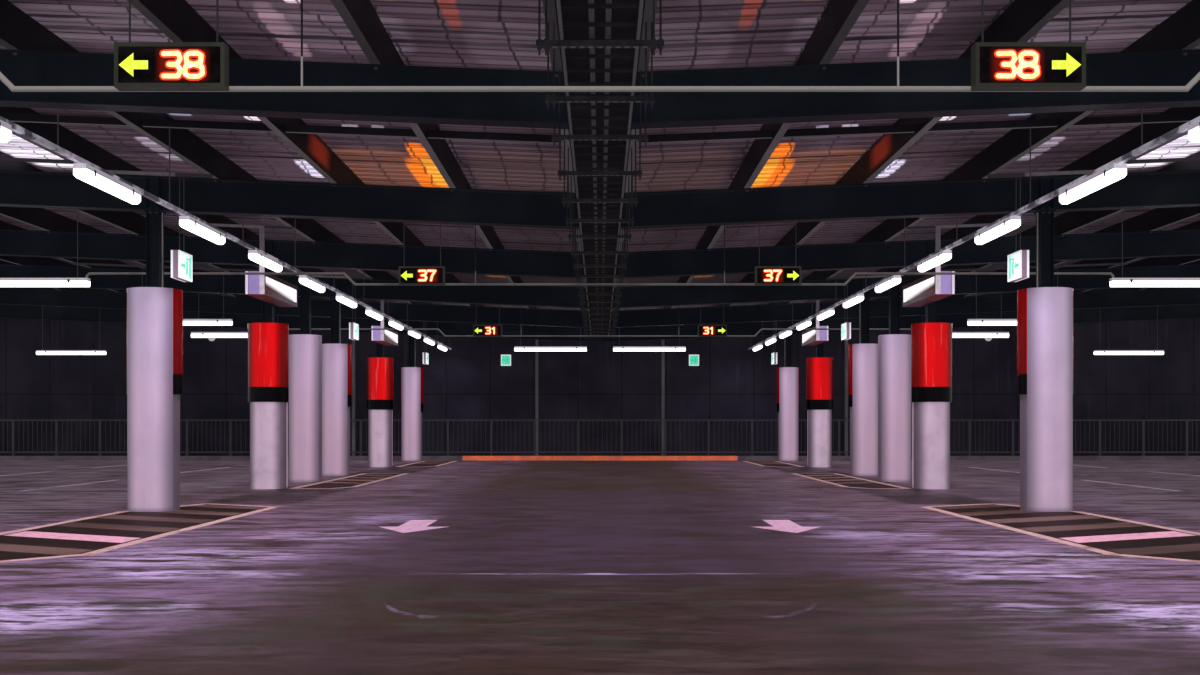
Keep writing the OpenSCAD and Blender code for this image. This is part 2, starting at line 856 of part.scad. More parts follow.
// Posts on the kerb, two long bars and the upright bars between them
module guard_rail() {
    half = rail_gaps * rail_pitch / 2;
    z0 = rail_z0 + rail_foot;
    step = (rail_pitch - rail_post) / (infill_bars + 1);
    color("silver") translate([0, kerb_y + kerb_w / 2, 0]) {
        for (i = [0:rail_gaps])
            translate([i * rail_pitch - half - rail_post / 2, -rail_post / 2, rail_z0])
                cube([rail_post, rail_post, rail_z1 - rail_z0]);
        for (z = [z0, rail_z1 - rail_bar])
            translate([-half, -rail_bar / 2, z]) cube([2 * half, rail_bar, rail_bar]);
        translate([-half, infill_t / 2, z0]) rotate([90, 0, 0]) linear_extrude(infill_t)
            for (i = [0:rail_gaps - 1], j = [1:infill_bars])
                translate([i * rail_pitch + rail_post / 2 + j * step - infill_t / 2, 0])
                    square([infill_t, rail_z1 - z0]);
    }
}

last_wall_post = floor((half_wid - wall_post - wall_first) / wall_pitch);
// Level of the rail along the top of the end wall
wall_top = beam_top - wall_post;
// Places its children in the middle of the end wall's thickness
module in_end_wall() {
    translate([0, wall_y + wall_post / 2, 0]) children();
}

module end_wall_posts() {
    color("silver") both_sides() in_end_wall() {
        for (i = [0:last_wall_post]) {
            x = wall_first + i * wall_pitch;
            under_slope(x - wall_post / 2, x + wall_post / 2, deck, wall_top + wall_post / 2, wall_post);
        }
        sloped_bar(0, half_wid, wall_top, wall_post, wall_post);
    }
}

// Panel of the end wall, from x0 to x1
module wall_panel(x0, x1) {
    under_slope(x0, x1, deck, wall_top, panel_t);
}

module end_wall_panels() {
    side = wall_first + wall_post / 2;
    color("#2b2b30") both_sides() in_end_wall() {
        wall_panel(0, side - wall_post);
        for (i = [0:last_wall_post - 1])
            wall_panel(side + i * wall_pitch, side + (i + 1) * wall_pitch - wall_post);
        wall_panel(side + last_wall_post * wall_pitch, half_wid);
    }
}

floor_slab();
mirror([1, 0, 0]) steel_columns(outer_x, false);  // steel_columns_left_outer
mirror([1, 0, 0]) steel_columns(inner_x, true);  // steel_columns_left_inner
steel_columns(inner_x, true);  // steel_columns_right_inner
steel_columns(outer_x, false);  // steel_columns_right_outer
mirror([1, 0, 0]) casings(outer_x, false);  // casings_left_outer
mirror([1, 0, 0]) casings(inner_x, true);  // casings_left_inner
casings(inner_x, true);  // casings_right_inner
casings(outer_x, false);  // casings_right_outer
white_shells();
red_wraps();
black_bands();
mirror([1, 0, 0]) main_beams_right();  // main_beams_left
main_beams_right();
mirror([1, 0, 0]) purlins_right();  // purlins_left
purlins_centre();
purlins_right();
bridging_bars();
mirror([1, 0, 0]) outer_sheet();  // roof_sheets_left
both_sides() roof_sheet(sheet_start, sheet_joint);  // roof_sheets_centre
outer_sheet();  // roof_sheets_right
valley_gutter();
cable_ladder();
ladder_cover();
ladder_conduits();
ladder_hangers();
light_trunking();
aisle_light_spines();
aisle_light_diffusers();
side_light_spines();
side_light_diffusers();
dome_detectors();
light_conduits();
sign_cases();
sign_faces();
sign_hangers();
exit_signs();
exit_faces();
zone_sign_boxes();
zone_faces();
end_kerb();
guard_rail();
end_wall_posts();
end_wall_panels();
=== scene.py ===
# %% [markdown]
# # One storey of a multi storey car park
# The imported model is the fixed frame: deck, round casings, steel frame, lights and signs.
# This lesson gives every surface its finish, adds the small pieces that a CAD file leaves
# out, such as bolts, digits and floor paint, and places the camera inside the storey.

# %% Load the frame
import math

import bmesh
import bpy
from mathutils import Matrix, Vector


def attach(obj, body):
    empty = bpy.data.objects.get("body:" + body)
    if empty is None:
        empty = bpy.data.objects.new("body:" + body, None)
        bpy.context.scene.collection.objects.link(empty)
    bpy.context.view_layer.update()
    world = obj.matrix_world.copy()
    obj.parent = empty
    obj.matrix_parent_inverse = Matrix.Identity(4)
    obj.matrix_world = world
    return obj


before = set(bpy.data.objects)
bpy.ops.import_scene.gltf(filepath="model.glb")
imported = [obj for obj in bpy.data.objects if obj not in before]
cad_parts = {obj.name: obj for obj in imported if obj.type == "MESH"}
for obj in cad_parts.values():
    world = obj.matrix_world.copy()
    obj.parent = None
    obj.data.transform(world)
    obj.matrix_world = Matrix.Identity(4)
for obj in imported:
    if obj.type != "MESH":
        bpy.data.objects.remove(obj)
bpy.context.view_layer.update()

# %% [markdown]
# # The camera
# The picture was taken on the aisle's centre line, about a metre above the deck, with the
# lens level and the horizon below the middle of the frame. A level camera with a little
# vertical shift keeps the columns upright, where a tilted one would make them lean.

# %% Camera
EYE = (0.0, -19.64, 1.22)


def place_camera(eye, lens, shift_y):
    data = bpy.data.cameras.new("camera")
    camera = bpy.data.objects.new("camera", data)
    bpy.context.scene.collection.objects.link(camera)
    camera.location = eye
    camera.rotation_euler = (math.radians(90), 0, 0)
    data.lens = lens
    data.sensor_width = 36
    data.shift_y = shift_y
    data.clip_start = 0.05
    data.clip_end = 300
    data.dof.use_dof = False
    bpy.context.scene.camera = camera
    return camera


camera = place_camera(EYE, 38.7, 0.0726)
print("camera at", tuple(camera.location))

# %% [markdown]
# # Shader maths as Python
# A finish is a small sum: paint colour, less some dust, plus some wear. Wiring that by hand
# takes many nodes, so a Wire stands for one socket, and + - * / on it add the Math nodes.
# A Finish is one material, with one method that makes any other node.

# %% Wires and finishes
class Wire:
    """What comes out of one socket. Sums on it become Math nodes."""

    def __init__(self, finish, socket):
        self.finish = finish
        self.socket = socket

    def math(self, operation, a, b=None, clamp=False):
        values = {0: a} if b is None else {0: a, 1: b}
        return self.finish.node("ShaderNodeMath", {"operation": operation, "use_clamp": clamp}, values)

    def __add__(self, other):
        return self.math("ADD", self, other)

    __radd__ = __add__

    def __sub__(self, other):
        return self.math("SUBTRACT", self, other)

    def __rsub__(self, other):
        return self.math("SUBTRACT", other, self)

    def __mul__(self, other):
        return self.math("MULTIPLY", self, other)

    __rmul__ = __mul__

    def __truediv__(self, other):
        return self.math("DIVIDE", self, other)

    def __abs__(self):
        return self.math("ABSOLUTE", self)

    def wrap(self, period):
        """Saw tooth from 0 to period."""
        return self.math("FLOORED_MODULO", self, period)

    def most(self, other):
        return self.math("MAXIMUM", self, other)

    def least(self, other):
        return self.math("MINIMUM", self, other)


class Finish:
    """One procedural material, built from named values."""

    def __init__(self, name, **settings):
        self.material = bpy.data.materials.new(name)
        self.material.use_nodes = True
        self.tree = self.material.node_tree
        self.shader = self.tree.nodes["Principled BSDF"]
        for socket, value in settings.items():
            self.shader.inputs[socket.replace("_", " ")].default_value = value
        self.spot = self.node("ShaderNodeTexCoord", out="Object")
        axes = self.tree.nodes.new("ShaderNodeSeparateXYZ")
        self.tree.links.new(self.spot.socket, axes.inputs[0])
        self.x, self.y, self.z = (Wire(self, axes.outputs[i]) for i in range(3))

    def node(self, kind, settings=None, inputs=None, out=0):
        """Adds a node: its settings first, then the values or wires of its sockets."""
        made = self.tree.nodes.new(kind)
        for key, value in (settings or {}).items():
            if key == "stops":
                ramp = made.color_ramp
                while len(ramp.elements) < len(value):
                    ramp.elements.new(0.5)
                for element, (place, colour) in zip(ramp.elements, value):
                    element.position = place
                    element.color = (*colour, 1)
            else:
                setattr(made, key, value)
        for key, value in (inputs or {}).items():
            if isinstance(value, Wire):
                self.tree.links.new(value.socket, made.inputs[key])
            elif isinstance(value, tuple) and made.inputs[key].type == "RGBA":
                made.inputs[key].default_value = (*value, 1)
            else:
                made.inputs[key].default_value = value
        return Wire(self, made.outputs[out])

    def feed(self, socket, wire):
        self.tree.links.new(wire.socket, self.shader.inputs[socket])

    def mix(self, a, b, share, blend="MIX"):
        """Colour a, and colour b as far as share says."""
        return self.node("ShaderNodeMix", {"data_type": "RGBA", "blend_type": blend},
                         {0: share, 6: a, 7: b}, out=2)

    def stretch(self, x, y, z):
        return self.node("ShaderNodeVectorMath", {"operation": "MULTIPLY"}, {0: self.spot, 1: (x, y, z)})

    def noise(self, scale, detail=3.0, rough=0.5, place=None, bend=0.0):
        return self.node("ShaderNodeTexNoise", None, {
            "Vector": place or self.spot, "Scale": scale, "Detail": detail,
            "Roughness": rough, "Distortion": bend})

    def step(self, value, low, high):
        """0 below low, 1 above high and a soft change between them."""
        return self.node("ShaderNodeMapRange", {"interpolation_type": "SMOOTHSTEP"},
                         {0: value, 1: low, 2: high})

    def line(self, value, half, soft):
        """1 where value is within half of zero, fading over soft."""
        return 1 - self.step(abs(value), half, half + soft)

    def bump(self, height, strength=0.3, distance=0.002):
        self.feed("Normal", self.node("ShaderNodeBump", None, {
            "Strength": strength, "Distance": distance, "Height": height}))

    def upward(self, low=0.5, high=0.9):
        """1 on faces that look up."""
        axes = self.node("ShaderNodeSeparateXYZ", None, {
            0: self.node("ShaderNodeNewGeometry", out="True Normal")}, out=2)
        return self.step(axes, low, high)

    def downward(self, low=0.5, high=0.9):
        """1 on faces that look down."""
        axes = self.node("ShaderNodeSeparateXYZ", None, {
            0: self.node("ShaderNodeNewGeometry", out="True Normal")}, out=2)
        return self.step(axes * -1, low, high)

    def across(self, low=0.6, high=0.8):
        """1 on faces that look left or right."""
        axes = self.node("ShaderNodeSeparateXYZ", None, {
            0: self.node("ShaderNodeNewGeometry", out="True Normal")}, out=0)
        return self.step(abs(axes), low, high)


# %% [markdown]
# # Painted steel
# The frame is rolled steel in a dark slate paint. Real beams show a slightly uneven coat,
# dust on whatever faces up, and faint runs. Noise at three scales gives the coat, and the
# surface's own normal finds the places where dust can lie.

# %% Steel finishes
def steel_paint(name, colour, dust, rough, dusty=0.5, specular=0.10, wear=0.0, lit_underside=None):
    f = Finish(name, Specular_IOR_Level=specular)
    cloud = f.noise(0.9, 4, 0.6)
    fine = f.noise(38, 3, 0.6)
    runs = f.noise(1.6, 3, 0.6, f.stretch(7, 7, 0.5))
    base = f.mix(colour, tuple(c * 1.8 + 0.001 for c in colour), f.step(cloud, 0.42, 0.72) * 0.7)
    base = f.mix(base, tuple(c * 0.5 for c in colour), f.step(runs, 0.55, 0.75) * 0.45)
    base = f.mix(base, dust, f.upward() * (0.25 + dusty * cloud))
    if lit_underside:
        # painted reflection: a warm lamp shows again on the upper part of one web
        painted_lamp_reflection = f.line(abs(f.x) - 2.96, 0.06, 0.02) * f.line(f.y + 6.05, 0.15, 0.5) * f.line(f.z - 4.10, 0.06, 0.08)
        base = f.mix(base, (0.30, 0.030, 0.014), painted_lamp_reflection * 0.85)
        # painted light: the lower faces are paler, as lit by the lamps below, and less so over the near end
        base = f.mix(base, lit_underside, f.downward() * (0.55 + 0.7 * (cloud - 0.4)) * (0.40 + 0.60 * f.step(f.y, -9.6, -8.4)))
    if wear:
        chips = f.step(f.noise(24, 5, 0.7), 0.69, 0.72) * wear
        base = f.mix(base, (0.16, 0.10, 0.07), chips)
    f.feed("Base Color", base)
    f.feed("Roughness", rough + 0.18 * fine - 0.12 * runs)
    f.bump(fine * 0.5 + f.noise(160, 2) * 0.5, 0.12, 0.001)
    return f.material


def galvanised(name, colour, rough=0.42, metallic=0.55):
    """Zinc coat: flat crystals of slightly different greys."""
    f = Finish(name, Metallic=metallic)
    crystal = f.node("ShaderNodeTexVoronoi", None, {"Vector": f.spot, "Scale": 55.0}, out="Color")
    shade = f.node("ShaderNodeSeparateColor", None, {0: crystal})
    stain = f.step(f.noise(2.2, 4, 0.6), 0.5, 0.75)
    base = f.mix(tuple(c * 0.72 for c in colour), colour, shade)
    base = f.mix(base, tuple(c * 0.4 for c in colour), stain * 0.6)
    f.feed("Base Color", base)
    f.feed("Roughness", rough + 0.2 * shade - 0.05 * stain)
    f.bump(shade, 0.08, 0.001)
    return f.material



def ladder_steel():
    """Dark rungs between rails, whose lower faces carry painted light from the lamps below and whose sides are painted
    a little paler.
    """
    f = Finish("ladder_steel", Specular_IOR_Level=0.15)
    cloud = f.noise(3.0, 4, 0.6)
    fine = f.noise(45, 3)
    rail = f.step(abs(f.x), 0.199, 0.201)
    base = f.mix((0.0035, 0.0034, 0.0040), (0.0075, 0.0070, 0.0080), f.step(cloud, 0.4, 0.65))
    # painted light on the rails' lower faces
    base = f.mix(base, (0.062, 0.059, 0.063), f.downward() * rail * (0.55 + 0.45 * cloud))
    # painted light: the rails' sides a little paler
    base = f.mix(base, (0.012, 0.011, 0.013), f.across() * rail * 0.8)
    f.feed("Base Color", base)
    f.feed("Roughness", 0.42 + 0.2 * fine)
    f.bump(fine, 0.1, 0.001)
    return f.material


def strut_steel():
    """Slotted channel bars with painted light on their underside, and blackened rods."""
    f = Finish("strut_steel", Metallic=0.2, Specular_IOR_Level=0.2)
    cloud = f.noise(6, 4, 0.6)
    slots = f.line(f.x.wrap(0.05) - 0.025, 0.009, 0.002) * f.downward()
    bar = 1 - f.step(f.z, 3.351, 3.353)
    base = f.mix((0.008, 0.0078, 0.009), (0.016, 0.015, 0.017), f.step(cloud, 0.4, 0.65))
    # painted light: the bars' undersides are paler, as lit by the lamps below
    base = f.mix(base, (0.075, 0.072, 0.078), f.downward() * bar * 0.85)
    base = f.mix(base, (0.006, 0.006, 0.007), slots * 0.8)
    f.feed("Base Color", base)
    f.feed("Roughness", 0.4 + 0.2 * cloud)
    f.bump(cloud - slots, 0.15, 0.001)
    return f.material


def conduit_zinc():
    """Pale zinc tube, painted paler over its near stretch and with painted shade on its lower half; the stays that
    carry it are dark.
    """
    f = Finish("conduit_zinc", Metallic=0.3)
    cloud = f.noise(2.2, 4, 0.6)
    spangle = f.noise(60, 3)
    base = f.mix((0.155, 0.145, 0.138), (0.085, 0.080, 0.076), f.step(cloud, 0.42, 0.7))
    # painted highlight: the tube is paler over its near stretch, below y -10
    near = 1 - f.step(f.y, -10.5, -9.5)
    base = f.mix(base, (0.34, 0.315, 0.295), near * 0.9)
    # painted shade on the tube's lower half
    base = f.mix(base, (0.030, 0.028, 0.027), f.downward(-0.1, 0.5) * 0.6)
    stay = f.step(f.z, 3.262, 3.27) * (1 - f.step(abs(f.x), 4.5, 4.6))
    base = f.mix(base, (0.008, 0.0075, 0.009), stay)
    f.feed("Base Color", base)
    f.feed("Roughness", 0.36 + 0.2 * spangle)
    f.bump(spangle, 0.06, 0.001)
    return f.material


SLATE = steel_paint("slate_steel", (0.0030, 0.0041, 0.0064), (0.020, 0.019, 0.021), 0.5, wear=0.15, lit_underside=(0.013, 0.013, 0.015))
PURLIN = steel_paint("purlin_steel", (0.0036, 0.0031, 0.0042), (0.04, 0.036, 0.038), 0.5, lit_underside=(0.110, 0.100, 0.106))
LADDER = ladder_steel()
COVER = steel_paint("cover_steel", (0.0045, 0.0043, 0.0050), (0.03, 0.028, 0.030), 0.5)
STRUT = strut_steel()
CONDUIT = conduit_zinc()
LADDER_PIPE = galvanised("ladder_pipe_zinc", (0.055, 0.052, 0.055), 0.4, 0.4)
BOLT = galvanised("bolt_zinc", (0.050, 0.048, 0.053), 0.38, 0.5)
NUT = galvanised("nut_zinc", (0.018, 0.017, 0.020), 0.4, 0.4)
RAIL = galvanised("rail_zinc", (0.050, 0.047, 0.054))
print("steel finishes made")

# %% [markdown]
# # The deck
# The floor is a power-floated concrete deck with a seal coat, years of tyre rubber and
# trowel swirls that catch the light. One noise alone looks like cloud, so the finish is
# built in layers: broad mauve and brown patches, swirls, thin pale scuffs, tyre tracks along
# the aisle, hairline cracks and the sawn joints at every beam line.

# %% Deck
BAY = 5.0
DECK = 0.25


POOLS = [  # x, y, half width, half length, share: where the light rows shine on polished concrete
    (2.95, -13.15, 0.60, 0.75, 1.0), (2.65, -11.30, 0.85, 0.30, 0.85), (3.0, -10.25, 1.0, 0.9, 0.55),
    (2.28, -12.80, 0.20, 0.28, 0.6), (2.45, -8.35, 0.75, 0.65, 0.45), (0.0, -11.26, 0.14, 0.06, 0.9),
    (2.15, -6.30, 0.6, 0.9, 0.30),
]


def deck_concrete():
    f = Finish("deck_concrete", Specular_IOR_Level=0.3)
    broad = f.noise(0.30, 4, 0.5, bend=0.6)
    patch = f.noise(0.9, 4, 0.55, bend=1.0)
    cloud = f.noise(2.3, 4, 0.6, bend=0.8)
    streak = f.noise(1.5, 6, 0.66, f.stretch(0.85, 3.0, 1), 0.7)
    grain = f.noise(6.0, 5, 0.7, f.stretch(1, 2.4, 1), 0.4)
    fine = f.noise(60, 3, 0.7)
    base = f.mix((0.046, 0.0245, 0.0165), (0.056, 0.030, 0.037), f.step(broad, 0.38, 0.60))
    base = f.mix(base, (0.022, 0.0135, 0.0125), f.step(patch, 0.46, 0.70) * 0.7)
    base = f.mix(base, (0.085, 0.054, 0.064), f.step(cloud, 0.50, 0.72) * 0.4)
    base = f.mix(base, (0.098, 0.062, 0.070), f.step(streak, 0.50, 0.66) * 0.55)
    base = f.mix(base, (0.018, 0.012, 0.011), (1 - f.step(streak, 0.34, 0.47)) * 0.55)
    base = f.mix(base, (0.016, 0.010, 0.009), (1 - f.step(grain, 0.36, 0.52)) * 0.6)
    # painted sheen: a violet cast of the lamps' light over the aisle's middle, and oil-green stains near by
    violet_sheen = f.step(f.y, -12.1, -10.8) * (1 - f.step(f.y, -5.0, 1.0)) * (1 - f.step(abs(f.x), 1.8, 3.2))
    base = f.mix(base, (0.068, 0.040, 0.071), violet_sheen * (0.25 + 0.65 * f.step(cloud * 0.5 + streak * 0.5, 0.42, 0.60)))
    green = f.line(f.y + 12.9, 0.8, 0.7) * (1 - f.step(abs(f.x), 2.2, 3.4)) * f.step(cloud, 0.42, 0.62)
    base = f.mix(base, (0.043, 0.041, 0.031), green * 0.6)
    # beside the light rows the seal is polished by wheels, which lowers its roughness, and a painted sheen of the rows'
    # light makes it paler and cooler
    lane = f.step(abs(f.x), 1.4, 2.5)
    near = (1 - f.step(f.y, -9.5, -3.0) * 0.6) * (0.25 + 0.75 * f.step(f.y, -14.2, -13.4))
    polish_and_sheen = f.step(streak, 0.40, 0.60) * lane * near
    base = f.mix(base, (0.24, 0.135, 0.265), polish_and_sheen * (0.45 + 0.5 * f.step(grain, 0.4, 0.6)))
    shine = f.step(streak * 0.6 + grain * 0.4, 0.43, 0.58)
    for x, y, half_x, half_y, share in POOLS:
        away_x = (abs(f.x) - x) / half_x
        away_y = (f.y - y) / half_y
        pool = 1 - f.step(away_x * away_x + away_y * away_y, 0.2, 1.0)
        base = f.mix(base, (0.64, 0.47, 0.80), pool * shine * (share * 0.8))
    stalls = f.step(abs(f.x), 5.5, 6.2)
    base = f.mix(base, (0.155, 0.108, 0.145), stalls * (0.18 + 0.80 * f.step(streak, 0.42, 0.58)))
    base = f.mix(base, (0.040, 0.026, 0.030), stalls * (1 - f.step(streak, 0.38, 0.46)) * 0.7)
    # a dark brown strip between the aisle and the columns
    strip = f.line(abs(f.x) - 4.33, 0.42, 0.30) * (0.55 + 0.6 * f.step(cloud, 0.35, 0.6)) * f.step(f.y, -4.2, -3.6)
    base = f.mix(base, (0.007, 0.0035, 0.0030), strip.least(0.92))
    # thin pale scuffs: a long one across the aisle and a short curved one
    long_scuff = f.line(f.y + 11.26 + 0.12 * (f.noise(1.7, 2) - 0.5), 0.012, 0.022) * (
        1 - f.step(abs(f.x), 0.7, 1.35)) * (0.35 + 0.65 * f.step(cloud, 0.36, 0.56))
    bow = abs(f.x) - 0.86
    short_scuff = f.line(f.y + 13.12 - 4.8 * bow * bow + 0.1 * (f.noise(6, 3) - 0.5), 0.015, 0.05) * (
        f.line(abs(f.x) - 1.0, 0.10, 0.10)) * f.step(f.noise(9, 3, 0.6), 0.40, 0.60)
    base = f.mix(base, (0.34, 0.27, 0.44), (long_scuff * 0.9).most(short_scuff * 0.40))
    # tyre tracks, two for each lane
    wobble = f.noise(0.25, 2) * 0.5
    track = f.line(abs(abs(f.x) - 1.85 + wobble * 0.3) - 0.75, 0.10, 0.16)
    base = f.mix(base, (0.020, 0.015, 0.016), track * f.step(f.noise(0.7, 4), 0.3, 0.7) * 0.3)
    cracks = f.node("ShaderNodeTexVoronoi", {"feature": "DISTANCE_TO_EDGE"}, {
        "Vector": f.spot, "Scale": 0.24, "Randomness": 1.0})
    crack = f.line(cracks + (f.noise(5, 3) - 0.5) * 0.02, 0.0008, 0.0012)
    joint = f.line((f.y + 15).wrap(BAY) - 0.03, 0.005, 0.004).most(f.line(abs(f.x) - 5.75, 0.005, 0.004))
    base = f.mix(base, (0.014, 0.010, 0.011), (crack * 0.3).most(joint * 0.6))
    edge = f.step(abs(f.z - DECK), 0.004, 0.01)
    base = f.mix(base, f.mix((0.16, 0.145, 0.15), (0.11, 0.10, 0.10), f.step(cloud, 0.4, 0.65)), edge)
    f.feed("Base Color", f.mix(base, (0.5, 0.5, 0.5), 0.3 * (fine - 0.4).most(0), "OVERLAY"))
    f.feed("Roughness", 0.50 - 0.12 * polish_and_sheen - 0.08 * f.step(broad, 0.45, 0.6) + 0.1 * fine)
    f.bump(grain * 0.5 + fine * 0.15 - joint * 1.2, 0.12, 0.003)
    return f.material


# %% [markdown]
# # Road paint on the deck
# Arrows, island borders and bay lines are sprayed on and worn by tyres. The worn places show
# the deck through, so the paint's colour gives way to the deck's where a noise says so.

# %% Road paint
def road_paint(name, colour, worn, cover, faded=None, far=0.0):
    f = Finish(name, Roughness=0.62, Specular_IOR_Level=0.2)
    wear = f.noise(5.5, 6, 0.72, bend=0.8)
    spot = f.noise(1.1, 3, 0.6)
    grain = f.noise(90, 2)
    rubbed = f.step(wear * 0.6 + spot * 0.4, cover, cover + 0.12)
    base = f.mix(colour, tuple(c * 0.72 for c in colour), f.step(f.noise(13, 4), 0.45, 0.7))
    if far:
        # the paint is darker towards the far end, from y -7 onwards
        base = f.mix(base, tuple(0.4 * c for c in colour), f.step(f.y, -7.0, -1.0) * far)
    if faded:
        # only the band nearest the camera kept its colour
        band = f.y - 0.6 * abs(f.x)
        old = f.step(band, -10.78, -10.60).most(1 - f.step(band, -11.6, -11.45))
        base = f.mix(base, faded, old)
        dull = f.step(f.noise(0.8, 2, place=f.stretch(0.15, 1, 1)), 0.42, 0.58)
        base = f.mix(base, tuple(0.35 * c for c in faded), dull * old * 0.8)
    f.feed("Base Color", f.mix(base, worn, rubbed))
    f.bump(grain * 0.4 - rubbed, 0.25, 0.001)
    return f.material


# %% [markdown]
# # Columns
# The casings are round concrete jackets in a white paint that has yellowed and been rubbed by
# bumpers. The front shell is a smooth white guard, and the wraps are glossy red and black
# sheet with seams. Gloss is in the roughness, and slow waves in the bump stretch what the
# red sheet reflects into upright streaks.

# %% Column finishes
def casing_paint():
    f = Finish("casing_paint", Roughness=0.55)
    blotch = f.noise(3.2, 5, 0.6)
    drip = f.noise(2.2, 4, 0.62, f.stretch(6, 6, 0.4))
    low = 1 - f.step(f.z, DECK + 0.02, DECK + 0.55)
    base = f.mix((0.47, 0.34, 0.44), (0.39, 0.28, 0.37), f.step(blotch, 0.42, 0.7))
    base = f.mix(base, (0.24, 0.175, 0.235), f.step(drip, 0.56, 0.78) * 0.4)
    scrape = f.step(f.noise(9, 5, 0.7, f.stretch(1, 1, 3)), 0.66, 0.74) * low
    base = f.mix(base, (0.12, 0.09, 0.10), scrape * 0.6)
    # painted shade: the sides that look along the aisle's width are darkened
    base = f.mix(base, (0.040, 0.028, 0.041), f.across(0.35, 0.95) * 0.88)
    f.feed("Base Color", base)
    f.bump(f.noise(120, 3, 0.6) * 0.6 + blotch * 0.6, 0.25, 0.002)
    return f.material


def shell_sheet():
    f = Finish("shell_sheet", Specular_IOR_Level=0.45)
    cloud = f.noise(1.7, 4, 0.6)
    drip = f.noise(2.6, 4, 0.65, f.stretch(9, 9, 0.35))
    low = 1 - f.step(f.z, DECK, DECK + 0.9)
    top = f.step(f.z, 1.0, 2.75)
    # painted light: the nearest shell is painted paler and cooler, those beyond it darker and warmer, and each shell is
    # bluer towards its top
    beyond = f.step(f.y, -3.5, 1.0)
    base = f.mix(f.mix((0.47, 0.33, 0.45), (0.42, 0.325, 0.47), top), f.mix((0.42, 0.275, 0.365), (0.385, 0.27, 0.385), top), beyond)
    base = f.mix(base, (0.35, 0.265, 0.38), f.step(cloud, 0.4, 0.72) * 0.5)
    base = f.mix(base, (0.25, 0.19, 0.27), f.step(drip, 0.58, 0.80) * 0.35)
    scuffs = f.step(f.noise(11, 6, 0.72, f.stretch(1, 1, 4)), 0.68, 0.76) * low
    base = f.mix(base, (0.18, 0.135, 0.16), scuffs * 0.5)
    # darker foot: grime where the shell meets the deck, and painted contact shade
    foot = 1 - f.step(f.z, DECK + 0.01, DECK + 0.04 + 0.04 * cloud)
    base = f.mix(base, (0.14, 0.105, 0.13), foot * 0.6)
    # painted shade on the faces that look left and right
    base = f.mix(base, (0.075, 0.058, 0.085), f.across(0.30, 0.95) * 0.92)
    f.feed("Base Color", base)
    f.feed("Roughness", 0.36 + 0.16 * drip + 0.25 * scuffs)
    f.bump(f.noise(75, 2) * 0.3 + cloud, 0.12, 0.002)
    return f.material


def gloss_sheet(name, colour, dark, rough):
    f = Finish(name, Specular_IOR_Level=0.06)
    wave = f.noise(5, 3, 0.55, f.stretch(2.4, 2.4, 0.22))
    reflection_streaks = f.noise(3.0, 5, 0.62, f.stretch(7, 7, 0.30))
    haze = f.noise(2.1, 4, 0.6)
    nick = f.step(f.noise(15, 6, 0.74), 0.66, 0.70)
    base = f.mix(tuple(0.86 * c for c in colour), dark, f.step(haze, 0.45, 0.75) * 0.5)
    # painted highlight and shade: pale upright streaks stand in for the sheet's reflections, with a few scratches among
    # them, and dark streaks lie between them
    base = f.mix(base, tuple(0.7 * c + 0.22 * max(colour) for c in colour), f.step(reflection_streaks, 0.575, 0.66) * 0.42)
    base = f.mix(base, tuple(0.5 * c for c in colour), f.step(reflection_streaks * -1, -0.42, -0.32) * 0.35)
    base = f.mix(base, tuple(0.5 * c + 0.05 * max(colour) for c in colour), nick * 0.2)
    # the flanks see little light and are a deeper red
    base = f.mix(base, tuple(0.10 * c for c in colour), f.across(0.40, 0.85) * 0.95)
    f.feed("Base Color", base)
    f.feed("Roughness", rough + 0.12 * wave + 0.3 * nick)
    f.bump(wave, 0.5, 0.012)
    return f.material


# %% [markdown]
# # The roof's two faces
# Under the ribbed sheets lies a foil-faced blanket: fine seams run across the roof, and dark
# wires wander along it. Warm lamps tint it in patches.
# From above the same sheet is weathered bare metal with dust in its pans.

# %% Roof finish
# painted reflections and glints of lamps on the foil
WARM = [  # x, y, half width, half length, colour, share
    # warm lamps on the first roof panels
    (1.07, -11.15, 0.07, 1.2, (0.42, 0.075, 0.035), 0.6), (1.50, -11.0, 0.12, 0.4, (0.45, 0.25, 0.12), 0.5),
    (2.17, -10.75, 0.07, 0.3, (0.95, 0.70, 0.85), 0.9), (2.42, -9.75, 0.11, 0.7, (0.50, 0.32, 0.40), 0.7),
    (1.90, -9.8, 0.5, 0.6, (0.24, 0.17, 0.23), 0.6), (0.62, -9.6, 0.45, 0.6, (0.20, 0.15, 0.19), 0.5),
    (3.85, -9.7, 0.7, 0.5, (0.26, 0.20, 0.25), 0.6),
    # the sodium lamp's patch beside the second purlin, and its paler spread
    (2.55, -4.4, 0.55, 1.3, (0.36, 0.140, 0.085), 0.75), (1.99, -4.7, 0.13, 1.35, (1.0, 0.21, 0.010), 1.0),
    (2.06, -4.05, 0.20, 1.2, (1.0, 0.21, 0.010), 1.0), (1.95, -4.35, 0.11, 0.9, (1.0, 0.42, 0.04), 0.9),
    (0.95, -4.4, 0.6, 1.6, (0.16, 0.09, 0.075), 0.45), (2.05, 5.1, 0.3, 1.6, (0.62, 0.22, 0.06), 0.5),
    # small glints of the fittings on the foil
    (2.24, -6.6, 0.07, 0.17, (0.75, 0.68, 0.85), 0.9), (2.52, -6.6, 0.09, 0.15, (0.85, 0.75, 0.95), 1.0),
    (3.42, -6.95, 0.11, 0.22, (0.95, 0.80, 0.92), 1.0), (3.42, -4.3, 0.14, 0.6, (0.72, 0.66, 0.84), 0.85),
    (4.15, -6.9, 0.12, 0.08, (0.55, 0.55, 0.75), 0.8), (4.92, -5.1, 0.16, 0.7, (0.58, 0.48, 0.60), 0.8),
    (6.58, -5.0, 0.42, 1.4, (0.95, 0.85, 1.0), 1.0),
]


